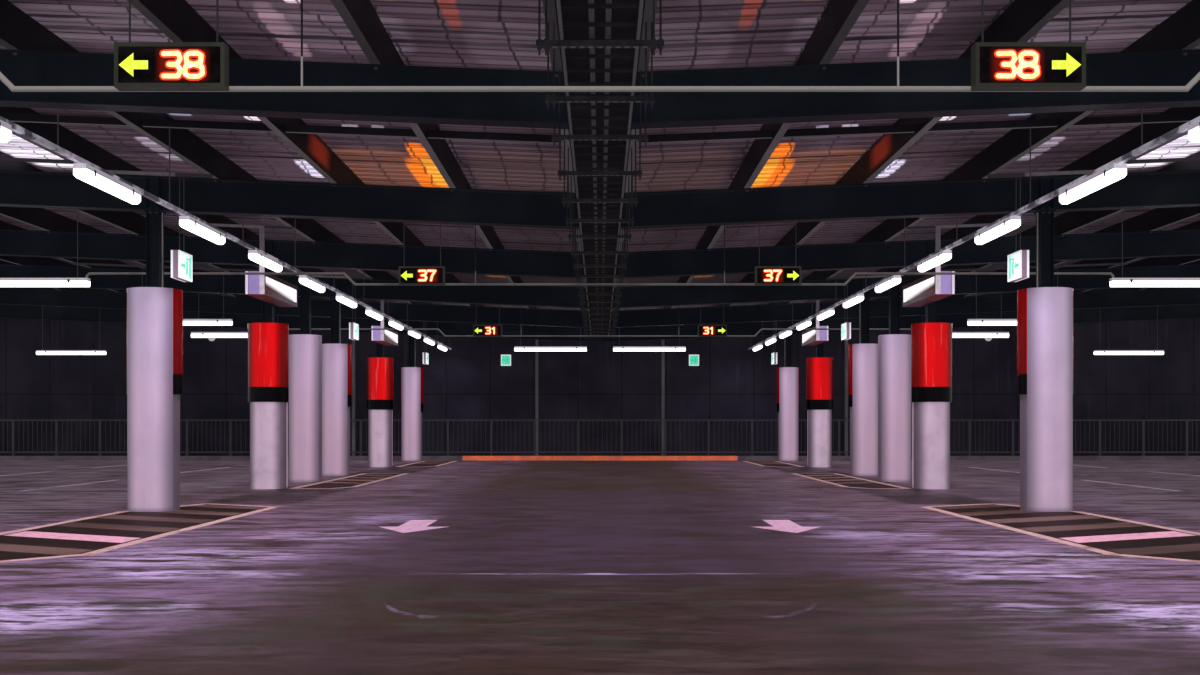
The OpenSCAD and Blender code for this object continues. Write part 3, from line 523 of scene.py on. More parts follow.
def roof_foil():
    f = Finish("roof_foil", Emission_Strength=0.45)
    sky = f.upward(0.0, 0.2)
    cloud = f.noise(0.55, 4, 0.6)
    crease = f.noise(7, 5, 0.66, f.stretch(0.5, 1.6, 1), 1.2)
    seam = f.line((f.y + 0.012 * f.noise(3, 2)).wrap(0.088) - 0.044, 0.007, 0.010)
    seam_shade = f.step(f.noise(1.3, 3, 0.6, f.stretch(0.5, 9, 1)), 0.35, 0.65)
    wander = (f.noise(0.42, 3, 0.55, bend=0.6) - 0.5) * 0.55 + (f.noise(2.4, 2) - 0.5) * 0.05
    wire = f.line((f.x + wander).wrap(0.46) - 0.23, 0.007, 0.008)
    foil = f.mix((0.098, 0.064, 0.086), (0.048, 0.032, 0.042), f.step(cloud, 0.35, 0.68))
    foil = f.mix(foil, (0.15, 0.105, 0.14), f.step(crease, 0.56, 0.74) * 0.45)
    # painted shade: the foil is darkened towards the far end and out beyond the inner column rows
    far = f.step(f.y, -4.0, 6.0).most(f.step(abs(f.x), 6.5, 12.0))
    foil = f.mix(foil, (0.020, 0.015, 0.020), far * 0.8)
    lit = (0.0, 0.0, 0.0)
    for x, y, half_x, half_y, colour, share in WARM:
        away_x, away_y = (abs(f.x) - x) / half_x, (f.y - y) / half_y
        wide, long = away_x * away_x, away_y * away_y
        glow = 1 - f.step(wide * wide + long * long, 0.35, 1.0)
        foil = f.mix(foil, colour, glow * (share * 0.7) + glow * crease * (share * 0.5))
        if share > 0.8:
            lit = f.mix(lit, colour, glow)
    dark = (seam * (0.48 + 0.52 * seam_shade)).most(wire * 0.8)
    foil = f.mix(foil, (0.010, 0.006, 0.009), dark)
    # painted light: the brightest reflections also glow, though the foil is no lamp
    f.feed("Emission Color", f.mix(lit, (0.0, 0.0, 0.0), dark.most(sky)))
    stain = f.noise(1.1, 5, 0.65, f.stretch(0.3, 1, 1))
    lap = f.line((f.y + 15.5).wrap(1.0) - 0.02, 0.004, 0.004)
    metal = f.mix((0.40, 0.41, 0.42), (0.27, 0.275, 0.28), f.step(stain, 0.4, 0.7))
    metal = f.mix(metal, (0.20, 0.17, 0.145), f.step(f.noise(2.4, 5, 0.7), 0.56, 0.72) * 0.5)
    metal = f.mix(metal, (0.10, 0.10, 0.10), lap * 0.7)
    f.feed("Base Color", f.mix(foil, metal, sky))
    f.feed("Metallic", 0.15 + 0.4 * sky)
    f.feed("Roughness", 0.34 + 0.14 * crease + 0.14 * sky)
    f.bump(crease * 0.5 - seam * 0.6, 0.3, 0.006)
    return f.material


# %% [markdown]
# # Light fittings
# Each fitting is a white enamelled spine with an opal cover. The cover glows, a little
# mottled, with dark specks in it.

# %% Fitting finishes
def enamel(name, colour, rough=0.4, rods_over=None):
    f = Finish(name, Specular_IOR_Level=0.4)
    cloud = f.noise(2.3, 4, 0.6)
    grime = f.step(f.noise(9, 5, 0.7), 0.57, 0.72)
    base = f.mix(colour, tuple(c * 0.7 for c in colour), f.step(cloud, 0.4, 0.7) * 0.6)
    base = f.mix(base, (0.14, 0.115, 0.12), (0.25 + 0.5 * f.upward()) * grime)
    if rods_over:
        base = f.mix(base, (0.022, 0.021, 0.024), f.step(f.z, rods_over, rods_over + 0.002))
    f.feed("Base Color", base)
    f.feed("Roughness", rough + 0.2 * grime)
    f.bump(f.noise(140, 2), 0.08, 0.001)
    return f.material


def opal(name, colour, glow):
    f = Finish(name, Roughness=0.35, Emission_Strength=glow)
    mottled = f.noise(30, 3)
    bugs = f.step(f.noise(16, 5, 0.75), 0.70, 0.74)
    f.feed("Base Color", f.mix((0.86, 0.85, 0.90), (0.5, 0.45, 0.45), bugs * 0.6))
    f.feed("Emission Color", f.mix(colour, tuple(c * 0.9 for c in colour), mottled * 0.4 + bugs * 0.4))
    f.bump(mottled, 0.05, 0.001)
    return f.material


DECK_CONCRETE = deck_concrete()
CASING = casing_paint()
SHELL = shell_sheet()
RED = gloss_sheet("red_sheet", (0.62, 0.004, 0.006), (0.42, 0.002, 0.004), 0.14)
BLACK = gloss_sheet("black_sheet", (0.0020, 0.0016, 0.0026), (0.0040, 0.0035, 0.0045), 0.22)
ROOF = roof_foil()
ENAMEL = enamel("white_enamel", (0.62, 0.58, 0.66))
SIDE_ENAMEL = enamel("side_enamel", (0.55, 0.50, 0.58), rods_over=3.166)


def trunk_enamel():
    """White trunking with painted light in short stretches, where the fittings light it, on rods of dull zinc."""
    f = Finish("trunk_and_rods", Roughness=0.45, Specular_IOR_Level=0.25)
    cloud = f.noise(3.1, 4, 0.6)
    grime = f.step(f.noise(1.9, 3, 0.6, f.stretch(1, 1, 6)), 0.45, 0.6)
    # painted light: pale lit stretches and dark stretches along the trunking
    base = f.mix((0.09, 0.083, 0.105), (0.52, 0.49, 0.59), f.step(cloud, 0.46, 0.58))
    base = f.mix(base, (0.02, 0.018, 0.024), grime * 0.45)
    base = f.mix(base, (0.022, 0.021, 0.024), f.step(f.z, 3.3, 3.305))
    f.feed("Base Color", base)
    f.bump(f.noise(140, 2), 0.08, 0.001)
    return f.material


TRUNK_AND_RODS = trunk_enamel()
OPAL = opal("opal_cover", (0.98, 0.97, 1.0), 3.0)
print("deck, columns, roof and fittings finished")

# %% [markdown]
# # Signs, exit boxes and the closed end
# Lit faces are what the eye finds first. A guidance sign is a black gloss face on which red
# digits glow, with a faint halo of their light painted on the gloss around them. The exit
# boxes glow white-green, and the long zone boxes are lilac with pale upright strips and a
# dark wine lower half.

# %% Sign finishes
def sign_face():
    f = Finish("sign_face", Specular_IOR_Level=0.1)
    smear = f.noise(7, 4, 0.6)
    # painted glow: a faint red halo of the digits' light on the gloss
    halo = f.line(abs(f.x) - 2.288, 0.105, 0.055) * f.line(f.z - 3.1925, 0.060, 0.045)
    base = f.mix((0.0025, 0.0018, 0.0020), (0.006, 0.004, 0.005), f.step(smear, 0.4, 0.65))
    f.feed("Base Color", f.mix(base, (0.17, 0.010, 0.004), halo * 0.8))
    f.feed("Roughness", 0.12 + 0.25 * f.step(smear, 0.5, 0.75))
    f.bump(smear, 0.05, 0.001)
    return f.material


def lamp(name, colour, glow, rim=None):
    f = Finish(name, Roughness=0.3, Emission_Strength=glow)
    flicker = f.noise(55, 3)
    f.feed("Base Color", f.mix(tuple(c * 0.6 for c in colour), tuple(c * 0.3 for c in colour), flicker))
    f.feed("Emission Color", f.mix(colour, rim or tuple(c * 0.75 for c in colour), f.step(flicker, 0.4, 0.7)))
    f.bump(flicker, 0.04, 0.0005)
    return f.material


def exit_face():
    """Opal face that glows pale at its middle and green along its far edge."""
    f = Finish("exit_face", Roughness=0.3, Emission_Strength=0.9)
    cloud = f.noise(6, 2)
    along = (f.y + 15.55).wrap(2 * BAY)
    green = f.step(along, 0.30, 0.37).most(f.step(cloud, 0.62, 0.72) * 0.5)
    f.feed("Base Color", f.mix((0.30, 0.36, 0.35), (0.05, 0.22, 0.14), green))
    f.feed("Emission Color", f.mix((0.62, 0.95, 0.90), (0.05, 0.55, 0.34), green))
    f.bump(cloud, 0.04, 0.001)
    return f.material


def exit_box():
    """Mauve case between two white lenses, which are lit at their edges."""
    f = Finish("exit_box", Roughness=0.35, Emission_Strength=0.8)
    cloud = f.noise(9, 3)
    from_aisle = f.step(abs(f.x), 4.655, 4.658).most(1 - f.step(abs(f.x), 4.600, 4.603))
    lens = from_aisle * f.step(abs(f.z - 2.6), 0.2, 0.21)
    base = f.mix((0.235, 0.150, 0.215), (0.17, 0.105, 0.16), cloud)
    f.feed("Base Color", f.mix(base, (0.45, 0.44, 0.47), lens))
    f.feed("Emission Color", f.mix((0.0, 0.0, 0.0), (0.62, 0.66, 0.66), lens * (0.5 + 0.5 * cloud)))
    f.bump(cloud, 0.06, 0.001)
    return f.material


def sign_rod():
    """Dull rods over the signs; the flat hangers of the zone boxes are painted pale."""
    f = Finish("sign_rod", Roughness=0.42, Metallic=0.2)
    cloud = f.noise(12, 4, 0.6)
    flat_bar = f.step(abs(f.x), 4.7035, 4.7038) * (1 - f.step(f.z, 3.55, 3.65) * 0.9)
    pale = f.mix((0.82, 0.70, 0.80), (0.66, 0.54, 0.66), f.step(cloud, 0.4, 0.65))
    f.feed("Base Color", f.mix((0.022, 0.021, 0.024), pale, flat_bar))
    f.bump(cloud, 0.1, 0.001)
    return f.material


def zone_box():
    f = Finish("zone_box", Specular_IOR_Level=0.45)
    cloud = f.noise(3.1, 4, 0.6)
    drips = f.step(f.noise(3.4, 4, 0.65, f.stretch(5, 5, 0.5)), 0.56, 0.75)
    base = f.mix((0.42, 0.31, 0.66), (0.33, 0.24, 0.52), f.step(cloud, 0.4, 0.7))
    # pale folded edges of the end plate, with a dark joint beside each
    folded = f.step(abs(f.x), 4.935, 4.938).most(1 - f.step(abs(f.x), 4.742, 4.745))
    joint = f.line(abs(f.x) - 4.930, 0.002, 0.002).most(f.line(abs(f.x) - 4.750, 0.002, 0.002))
    base = f.mix(base, (0.85, 0.74, 0.88), folded)
    base = f.mix(base, (0.05, 0.035, 0.09), joint * 0.9)
    base = f.mix(base, (0.16, 0.11, 0.20), drips * 0.35)
    # the aisle side and the underside are dark, and the underside carries a painted reflection of the red wrap
    side = f.across() * (1 - f.step(abs(f.x), 4.72, 4.75))
    base = f.mix(base, (0.030, 0.012, 0.016), side)
    base = f.mix(base, f.mix((0.022, 0.004, 0.004), (0.075, 0.008, 0.006), f.step(cloud, 0.4, 0.6)), f.downward())
    top = f.upward()
    base = f.mix(base, (0.20, 0.17, 0.19), top * 0.6)
    f.feed("Base Color", base)
    f.feed("Roughness", 0.3 + 0.2 * cloud)
    f.bump(f.noise(60, 2), 0.06, 0.001)
    return f.material


def zone_face():
    f = Finish("zone_face", Specular_IOR_Level=0.5, Emission_Strength=0.85)
    cloud = f.noise(2.5, 4, 0.6)
    # each box starts 1.55 m before its column line and is lit along its top and far end
    along = (f.y + 15 - BAY + 1.55).wrap(2 * BAY)
    lit = f.step(f.z + 0.060 * along, 3.180, 3.27).most(f.step(along, 1.66, 1.76))
    wine = f.mix((0.020, 0.016, 0.018), (0.11, 0.012, 0.014), f.step(3.22 - f.z + 0.1 * (cloud - 0.5), 0.0, 0.12))
    base = f.mix(wine, (0.80, 0.76, 0.82), lit)
    f.feed("Base Color", base)
    f.feed("Emission Color", f.mix((0.008, 0.001, 0.001), (0.95, 0.88, 0.92), lit * (0.75 + 0.25 * cloud)))
    f.feed("Roughness", 0.18 + 0.3 * cloud)
    f.bump(cloud, 0.05, 0.001)
    return f.material


def kerb_paint():
    f = Finish("kerb_paint")
    cloud = f.noise(1.6, 5, 0.65)
    chip = f.step(f.noise(6, 6, 0.75, f.stretch(0.5, 1, 1.6)), 0.55, 0.62)
    base = f.mix((0.62, 0.115, 0.040), (0.36, 0.080, 0.045), f.step(cloud, 0.4, 0.65))
    base = f.mix(base, (0.17, 0.13, 0.125), chip * 0.75)
    # beyond the aisle the kerb is bare concrete
    bare = f.mix((0.065, 0.052, 0.060), (0.040, 0.032, 0.038), f.step(cloud, 0.4, 0.6))
    base = f.mix(base, bare, f.step(abs(f.x), 3.72, 3.74))
    f.feed("Base Color", base)
    f.feed("Roughness", 0.5 + 0.3 * chip)
    f.bump(f.noise(35, 4, 0.7) - chip, 0.3, 0.003)
    return f.material


def end_panel():
    f = Finish("end_panel", Specular_IOR_Level=0.1)
    cloud = f.noise(0.8, 4, 0.6)
    runs = f.noise(1.3, 4, 0.65, f.stretch(5, 5, 0.3))
    joint = f.line(f.x.wrap(1.2) - 0.6, 0.006, 0.005).most(f.line(f.z - 2.05, 0.006, 0.005))
    base = f.mix((0.0065, 0.0055, 0.0095), (0.012, 0.010, 0.016), f.step(cloud, 0.35, 0.7))
    base = f.mix(base, (0.024, 0.020, 0.027), f.step(runs, 0.55, 0.75) * 0.5)
    base = f.mix(base, (0.002, 0.0016, 0.0025), joint)
    f.feed("Base Color", base)
    f.feed("Roughness", 0.45 + 0.2 * cloud)
    f.bump(cloud * 0.5 - joint, 0.25, 0.004)
    return f.material


SIGN_FACE = sign_face()
SIGN_CASE = steel_paint("sign_case", (0.026, 0.026, 0.021), (0.06, 0.055, 0.05), 0.42, 0.4)
DIGITS = lamp("digit_core", (1.0, 0.36, 0.14), 2.2, (1.0, 0.62, 0.40))
DIGIT_RIM = lamp("digit_rim", (0.95, 0.05, 0.012), 1.0)
ARROW = lamp("arrow_lamp", (0.60, 0.84, 0.035), 1.0, (0.78, 0.93, 0.14))
PICTURE = lamp("exit_green", (0.02, 0.42, 0.25), 0.8, (0.04, 0.55, 0.34))
EXIT_FACE = exit_face()
ZONE_BOX = zone_box()
ZONE_FACE = zone_face()
EXIT_BOX = exit_box()
SIGN_ROD = sign_rod()
DETECTOR = enamel("detector_shell", (0.42, 0.39, 0.43), 0.35)
KERB = kerb_paint()
END_PANEL = end_panel()
END_POST = steel_paint("end_post", (0.045, 0.042, 0.048), (0.10, 0.09, 0.09), 0.5)
print("signs and the closed end finished")

# %% [markdown]
# # Give each CAD node its finish
# A CAD node keeps its shape and only gets a new material. Its mesh stays where it is, so the
# finish is put into the material slots of the object, and its texture coordinates are metres
# in the frame of the whole model, which lets a finish know where it is.

# %% Dress the CAD nodes
ROWS = ("left_outer", "left_inner", "right_inner", "right_outer")
DRESS = {
    "floor_slab": DECK_CONCRETE, "white_shells": SHELL, "red_wraps": RED, "black_bands": BLACK,
    "bridging_bars": PURLIN, "valley_gutter": ROOF, "cable_ladder": LADDER, "ladder_cover": COVER,
    "ladder_conduits": LADDER_PIPE,
    "ladder_hangers": STRUT, "light_trunking": TRUNK_AND_RODS, "aisle_light_spines": ENAMEL,
    "aisle_light_diffusers": OPAL, "side_light_spines": SIDE_ENAMEL, "side_light_diffusers": OPAL,
    "dome_detectors": DETECTOR, "light_conduits": CONDUIT, "sign_cases": SIGN_CASE,
    "sign_faces": SIGN_FACE, "sign_hangers": SIGN_ROD, "exit_signs": EXIT_BOX, "exit_faces": EXIT_FACE,
    "zone_sign_boxes": ZONE_BOX, "zone_faces": ZONE_FACE, "end_kerb": KERB, "guard_rail": RAIL,
    "end_wall_posts": END_POST, "end_wall_panels": END_PANEL,
}
for row in ROWS:
    DRESS["steel_columns_" + row] = SLATE
    DRESS["casings_" + row] = CASING
for part in ("left", "centre", "right"):
    DRESS["purlins_" + part] = PURLIN
    DRESS["roof_sheets_" + part] = ROOF
for side in ("left", "right"):
    DRESS["main_beams_" + side] = SLATE


def node_objects(name):
    """The Blender objects that carry one CAD node."""
    return [o for o in bpy.data.objects if o.type == "MESH" and o.name.split(".")[0] == name]


dressed = 0
for name, finish in DRESS.items():
    for obj in node_objects(name):
        if not obj.material_slots:
            obj.data.materials.append(finish)
        for slot in obj.material_slots:
            slot.material = finish
        dressed += 1
print("dressed", dressed, "of", len(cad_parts), "nodes")

# %% [markdown]
# # Pieces as meshes
# Small parts such as paint lines, digits, bolt heads and caps repeat hundreds of times. Each
# kind is one object whose mesh is filled by a few helpers: a prism drawn from an outline, a
# box, and a hexagon or round disc. Every outline becomes a closed solid with its own
# thickness, because a sheet with no thickness lights wrongly from its back.

# %% Mesh helpers
MIRROR = (1, -1)


def new_piece(name, mesh, finish):
    data = bpy.data.meshes.new(name)
    bmesh.ops.recalc_face_normals(mesh, faces=mesh.faces)
    mesh.to_mesh(data)
    mesh.free()
    obj = bpy.data.objects.new(name, data)
    bpy.context.scene.collection.objects.link(obj)
    data.materials.append(finish)
    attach(obj, "root")
    print(name, "-", len(data.polygons), "faces")
    return obj


def prism(mesh, outline, base, top):
    """A solid between two copies of an outline: base and top map a flat point to space."""
    low = [mesh.verts.new(base(p)) for p in outline]
    high = [mesh.verts.new(top(p)) for p in outline]
    mesh.faces.new(low[::-1])
    mesh.faces.new(high)
    count = len(outline)
    for i in range(count):
        j = (i + 1) % count
        mesh.faces.new((low[i], low[j], high[j], high[i]))


def flat_plate(mesh, outline, z, thick):
    """An outline in x and y, lying flat."""
    prism(mesh, outline, lambda p: (p[0], p[1], z), lambda p: (p[0], p[1], z + thick))


def facing_plate(mesh, outline, y, thick):
    """An outline in x and z that stands upright and faces the camera."""
    prism(mesh, outline, lambda p: (p[0], y, p[1]), lambda p: (p[0], y - thick, p[1]))


def box(mesh, x, y, z, bevel=0.0):
    """A box from three pairs of limits, with its upright edges cut off by bevel."""
    b = bevel
    (x0, x1), (y0, y1) = x, y
    outline = [(x0, y0), (x1, y0), (x1, y1), (x0, y1)]
    if b:
        outline = [(x0 + b, y0), (x1 - b, y0), (x1, y0 + b), (x1, y1 - b),
                   (x1 - b, y1), (x0 + b, y1), (x0, y1 - b), (x0, y0 + b)]
    prism(mesh, outline, lambda p: (*p, z[0]), lambda p: (*p, z[1]))


def disc(mesh, centre, radius, thick, axis="Z", sides=6):
    """A short prism such as a bolt head, growing from its centre along an axis."""
    ring = [(radius * math.cos(2 * math.pi * i / sides), radius * math.sin(2 * math.pi * i / sides))
            for i in range(sides)]
    u, v, w = {"X": (1, 2, 0), "Y": (0, 2, 1), "Z": (0, 1, 2)}[axis]

    def spot(p, lift):
        out = list(centre)
        out[u] += p[0]
        out[v] += p[1]
        out[w] += lift
        return out

    prism(mesh, ring, lambda p: spot(p, 0), lambda p: spot(p, thick))


# %% [markdown]
# # Paint on the deck
# Real road paint is a film about a millimetre thick, so each marking is a thin plate lying on
# the deck. The islands round the columns are closed borders with slanted bands in them, and
# every outline is drawn for the right half and mirrored for the left.

# %% Floor paint
PAINT_T = 0.0015
LINE_W = 0.11
ISLAND_IN = 3.83
ISLAND_OUT = 5.31


def stroke(mesh, points, width, closed=False):
    """A painted line along points, one quad for each stretch, mirrored left and right."""
    stretches = list(zip(points, points[1:] + points[:1] if closed else points[1:]))
    for (x0, y0), (x1, y1) in stretches:
        run = Vector((x1 - x0, y1 - y0))
        side = Vector((-run.y, run.x)).normalized() * width / 2
        more = run.normalized() * width / 2
        quad = [(x0 - more.x + side.x, y0 - more.y + side.y), (x0 - more.x - side.x, y0 - more.y - side.y),
                (x1 + more.x - side.x, y1 + more.y - side.y), (x1 + more.x + side.x, y1 + more.y + side.y)]
        for s in MIRROR:
            flat_plate(mesh, [(s * x, y) for x, y in quad], DECK, PAINT_T)


def islands():
    """Each island's outline: the aisle side, the column side, and its chamfered ends."""
    found = []
    found.append([(ISLAND_IN, -10.0), (4.24, -10.5), (ISLAND_OUT, -11.6), (ISLAND_OUT, -5.3), (4.82, -3.84),
                  (ISLAND_IN, -4.44)])
    for start, end in ((-0.1, 6.2), (10.0, 15.0)):
        found.append([(ISLAND_IN, start + 0.5), (4.1, start), (4.66, start), (4.66, end - 0.2), (ISLAND_IN, end - 0.2)])
    found.append([(ISLAND_IN, -15.45), (ISLAND_OUT, -15.45), (ISLAND_OUT, -13.8), (4.9, -13.8), (ISLAND_IN, -14.4)])
    return found


PINK = road_paint("island_pink", (0.60, 0.29, 0.38), (0.060, 0.030, 0.030), 0.60, (0.115, 0.062, 0.056))
BORDER = road_paint("border_buff", (0.46, 0.275, 0.265), (0.085, 0.050, 0.052), 0.54, far=0.7)
ARROW_PAINT = road_paint("arrow_pink", (0.60, 0.34, 0.49), (0.24, 0.13, 0.19), 0.60)
FILL = road_paint("island_brown", (0.012, 0.0045, 0.0045), (0.028, 0.011, 0.010), 0.52)
BAY_LINE = road_paint("bay_line_lilac", (0.34, 0.27, 0.36), (0.125, 0.085, 0.115), 0.50)

border, bands, fills = bmesh.new(), bmesh.new(), bmesh.new()
for outline in islands():
    stroke(border, outline, LINE_W, closed=True)
    low, high = min(p[1] for p in outline), max(p[1] for p in outline)
    for s in MIRROR:
        inset = LINE_W / 2
        inner = [(s * (x + (inset if x < 4.5 else -inset)), y) for x, y in outline]
        flat_plate(fills, inner, DECK, PAINT_T / 3)
    y = -8.84 - 1.05 * round((-8.84 - low) / 1.05)
    while y < high:
        a, b = ISLAND_IN + 0.09, max(p[0] for p in outline) - 0.09
        slant = 0.55 * (b - a)
        quad = [(a, y - 0.23), (b, y - 0.23 + slant), (b, y + 0.23 + slant), (a, y + 0.23)]
        keep = [max(low + 0.5 + 1.0 * (b - x) / (b - a), min(high - 0.1 - 0.5 * (b - x) / (b - a), v)) for x, v in quad]
        if keep[3] - keep[0] > 0.12 and keep[2] - keep[1] > 0.12:
            for s in MIRROR:
                flat_plate(bands, [(s * x, v) for (x, _), v in zip(quad, keep)], DECK + PAINT_T / 3, PAINT_T / 2)
        y += 1.05
new_piece("island_borders", border, BORDER)
new_piece("island_fills", fills, FILL)
new_piece("island_bands", bands, PINK)

arrows = bmesh.new()
for tip in ((1.76, -8.10),):
    shape = [(1.65, -6.52), (1.92, -6.52), (1.92, -7.39), (2.10, -7.39), tip, (1.43, -7.39), (1.65, -7.39)]
    for s in MIRROR:
        flat_plate(arrows, [(s * a, b) for a, b in shape], DECK, PAINT_T)
new_piece("lane_arrows", arrows, ARROW_PAINT)

bay_lines = bmesh.new()
for x, y0, y1 in ((8.45, -0.8, 2.9), (8.45, 5.6, 9.8), (8.45, -10.8, -7.1), (11.35, 4.5, 7.0),
                  (11.35, 9.3, 13.2), (11.35, -5.5, -1.8), (11.35, -12.6, -9.5), (14.3, -0.8, 2.9), (14.3, 6.6, 9.8)):
    stroke(bay_lines, [(x, y0), (x, y1)], 0.1)
new_piece("bay_lines", bay_lines, BAY_LINE)

# %% [markdown]
# # Digits and arrows on the guidance signs
# The real signs show two dot-matrix digits and an arrow behind a black face. Each digit is a
# path of rounded strokes here, raised by a millimetre from the face: a wide dim rim first, and
# a narrow bright core on it. Both halves of the storey show the digits the right way round.

# %% Sign digits
SIGN_X = 2.36
SIGN_LINES = (-12.5, -2.5, 7.5)
SIGN_MID_Z = 3.1925
SIGN_Y = -0.0293 - 0.045 + 0.007
DIGIT_H = 0.153
DIGIT_W = 0.100
STROKES = {  # corner points of a digit, in units of its width and height
    "3": [(0.05, 0.98), (0.85, 1.0), (0.98, 0.78), (0.80, 0.53), (0.35, 0.52), (0.80, 0.50),
          (1.0, 0.27), (0.85, 0.02), (0.05, 0.02)],
    "8": [(0.5, 0.53), (0.12, 0.60), (0.08, 0.90), (0.28, 1.0), (0.72, 1.0), (0.92, 0.90), (0.88, 0.60),
          (0.5, 0.53), (0.05, 0.42), (0.02, 0.12), (0.25, 0.0), (0.75, 0.0), (0.98, 0.12), (0.95, 0.42), (0.5, 0.53)],
    "7": [(0.02, 1.0), (0.98, 1.0), (0.55, 0.5), (0.42, 0.0)],
    "1": [(0.22, 0.80), (0.55, 1.0), (0.55, 0.0)],
}


def sign_stroke(mesh, points, width, y, thick):
    """Raised strokes through points in x and z, with an eight-sided dot on every corner."""
    for (x0, z0), (x1, z1) in zip(points, points[1:]):
        run = Vector((x1 - x0, z1 - z0))
        side = Vector((-run.y, run.x)).normalized() * width / 2
        facing_plate(mesh, [(x0 + side.x, z0 + side.y), (x0 - side.x, z0 - side.y),
                            (x1 - side.x, z1 - side.y), (x1 + side.x, z1 + side.y)], y, thick)
    for x, z in dict.fromkeys(points):
        disc(mesh, (x, y, z), width / 2, -thick, "Y", 8)


core, rim, arrow_mesh = bmesh.new(), bmesh.new(), bmesh.new()
for line, text in zip(SIGN_LINES, ("38", "37", "31")):
    for s in MIRROR:
        middle = s * (SIGN_X - 0.072)
        for i, letter in enumerate(text):
            left = middle - 0.1105 + i * 0.121
            path = [(left + u * DIGIT_W, SIGN_MID_Z + (v - 0.5) * (DIGIT_H - 0.026)) for u, v in STROKES[letter]]
            y = line + SIGN_Y
            sign_stroke(rim, path, 0.046, y, 0.001)
            sign_stroke(core, path, 0.027, y - 0.001, 0.0015)
        tip = s * (SIGN_X + 0.198)
        shape = [(0.08, 0), (0.0, 0.066), (0.0, 0.024), (-0.08, 0.024), (-0.08, -0.024), (0.0, -0.024), (0.0, -0.066)]
        facing_plate(arrow_mesh, [(tip + s * a, SIGN_MID_Z + b) for a, b in shape], line + SIGN_Y, 0.0025)
new_piece("sign_digit_rims", rim, DIGIT_RIM)
new_piece("sign_digits", core, DIGITS)
new_piece("sign_arrows", arrow_mesh, ARROW)

# %% [markdown]
# # Pictures on the exit signs
# An exit sign needs no words: an arrow that points to an open door is read everywhere. The
# shapes are green plates a millimetre thick on the lit face, drawn once round their middle
# and placed on each face in its own plane, along the aisle or across the closed end.

# %% Exit pictures
DOOR = ([(0.025, -0.095), (0.041, -0.095), (0.041, 0.095), (0.025, 0.095)],
        [(0.127, -0.095), (0.143, -0.095), (0.143, 0.095), (0.127, 0.095)],
        [(0.041, 0.079), (0.127, 0.079), (0.127, 0.095), (0.041, 0.095)],
        [(0.041, -0.095), (0.085, -0.070), (0.085, 0.055), (0.041, 0.079)])
GO = [(0.0, 0.0), (-0.055, 0.052), (-0.055, 0.018), (-0.150, 0.018), (-0.150, -0.018), (-0.055, -0.018), (-0.055, -0.052)]
EXIT_Z = 2.975

pictures = bmesh.new()
for s in MIRROR:
    for line in (-15, -5, 5, 15):
        for shape in (*DOOR, GO):
            spots = [(line - 0.345 + u, EXIT_Z + v) for u, v in shape]
            prism(pictures, spots, lambda p: (s * 4.5937, *p), lambda p: (s * 4.5925, *p))
    for shape in (*DOOR, GO):
        facing_plate(pictures, [(s * 2.56 + 0.7 * u, EXIT_Z + 0.7 * v) for u, v in shape], 15.457, 0.0012)
new_piece("exit_pictures", pictures, PICTURE)

# %% [markdown]
# # Bolts and nuts of the frame
# Steel frames are bolted: four bolts through each cap plate, two through a purlin's foot at
# every beam, and a nut above and below each hanger rod's channel. A bolt head is a hexagon,
# and at this size that is all it needs, so one helper sets them all out from the frame's own
# distances and the slope of the roof.

# %% Bolts and nuts
SLOPE = 0.04
SOFFIT, BEAM_TOP = 3.44, 3.82
LINES = [-15 + BAY * k for k in range(7)]
ROW_X = (5.05, 17.925)
PURLINS = [0.28 + 1.34 * n for n in range(14)] + [18.45]

bolts = bmesh.new()
for s in MIRROR:
    for y in LINES:
        for x in ROW_X:
            cap_z = SOFFIT + SLOPE * (x - 0.091) - 0.015
            for dx, dy in ((0.035, 0.045), (0.035, -0.045), (-0.035, 0.045), (-0.035, -0.045)):
                disc(bolts, (s * (x + dx), y + dy, cap_z), 0.015, -0.012)
                disc(bolts, (s * (x + dx), y + dy, SOFFIT + 0.0155 + SLOPE * (x + dx)), 0.015, 0.014)
        for x in PURLINS:
            at = x + 0.045
            for dy in (0.06, -0.06):
                disc(bolts, (s * at, y + dy, BEAM_TOP - 0.0155 + SLOPE * at), 0.015, -0.014)
                disc(bolts, (s * at, y + dy, BEAM_TOP + 0.0025 + SLOPE * at), 0.015, 0.012)
new_piece("frame_bolts", bolts, BOLT)

nuts = bmesh.new()
for line in LINES[:-1]:
    for place in (1.21, 2.52, 3.735, 4.855):
        if line + place < 11.7:
            for x in (0.29875, 0.33625):
                for s in MIRROR:
                    spot = (s * x, line + place)
                    disc(nuts, (*spot, 3.315), 0.016, -0.003, "Z", 10)
                    disc(nuts, (*spot, 3.312), 0.0125, -0.011)
                    disc(nuts, (*spot, 3.301), 0.006, -0.030, "Z", 8)
                    disc(nuts, (*spot, 3.350), 0.0125, 0.011)
new_piece("hanger_nuts", nuts, NUT)

# %% [markdown]
# # Roof screws
# The sheets are held by a screw with a washer in every second trough, on every purlin but the
# first and the last. They sit on the upper face of the sheet, and only show from above, as rows of dots.

# %% Roof screws
SHEET_UP = 0.304
screws = bmesh.new()
for x in PURLINS[1:-1]:
    at = x + 0.0375 - SHEET_UP * SLOPE
    z = BEAM_TOP + SLOPE * (x + 0.0375) + SHEET_UP - 0.0015
    for i in range(0, 124, 2):
        y = -15.5 + i * 0.25 + 0.18
        for s in MIRROR:
            disc(screws, (s * at, y, z), 0.012, 0.004)
            disc(screws, (s * at, y, z + 0.004), 0.007, 0.007)
new_piece("roof_screws", screws, BOLT)

# %% [markdown]
# # Clips on the light fittings
# The opal cover is held to its spine by sprung clips, two on each long side. They are folded
# steel strips that stand 3 mm proud over the joint.

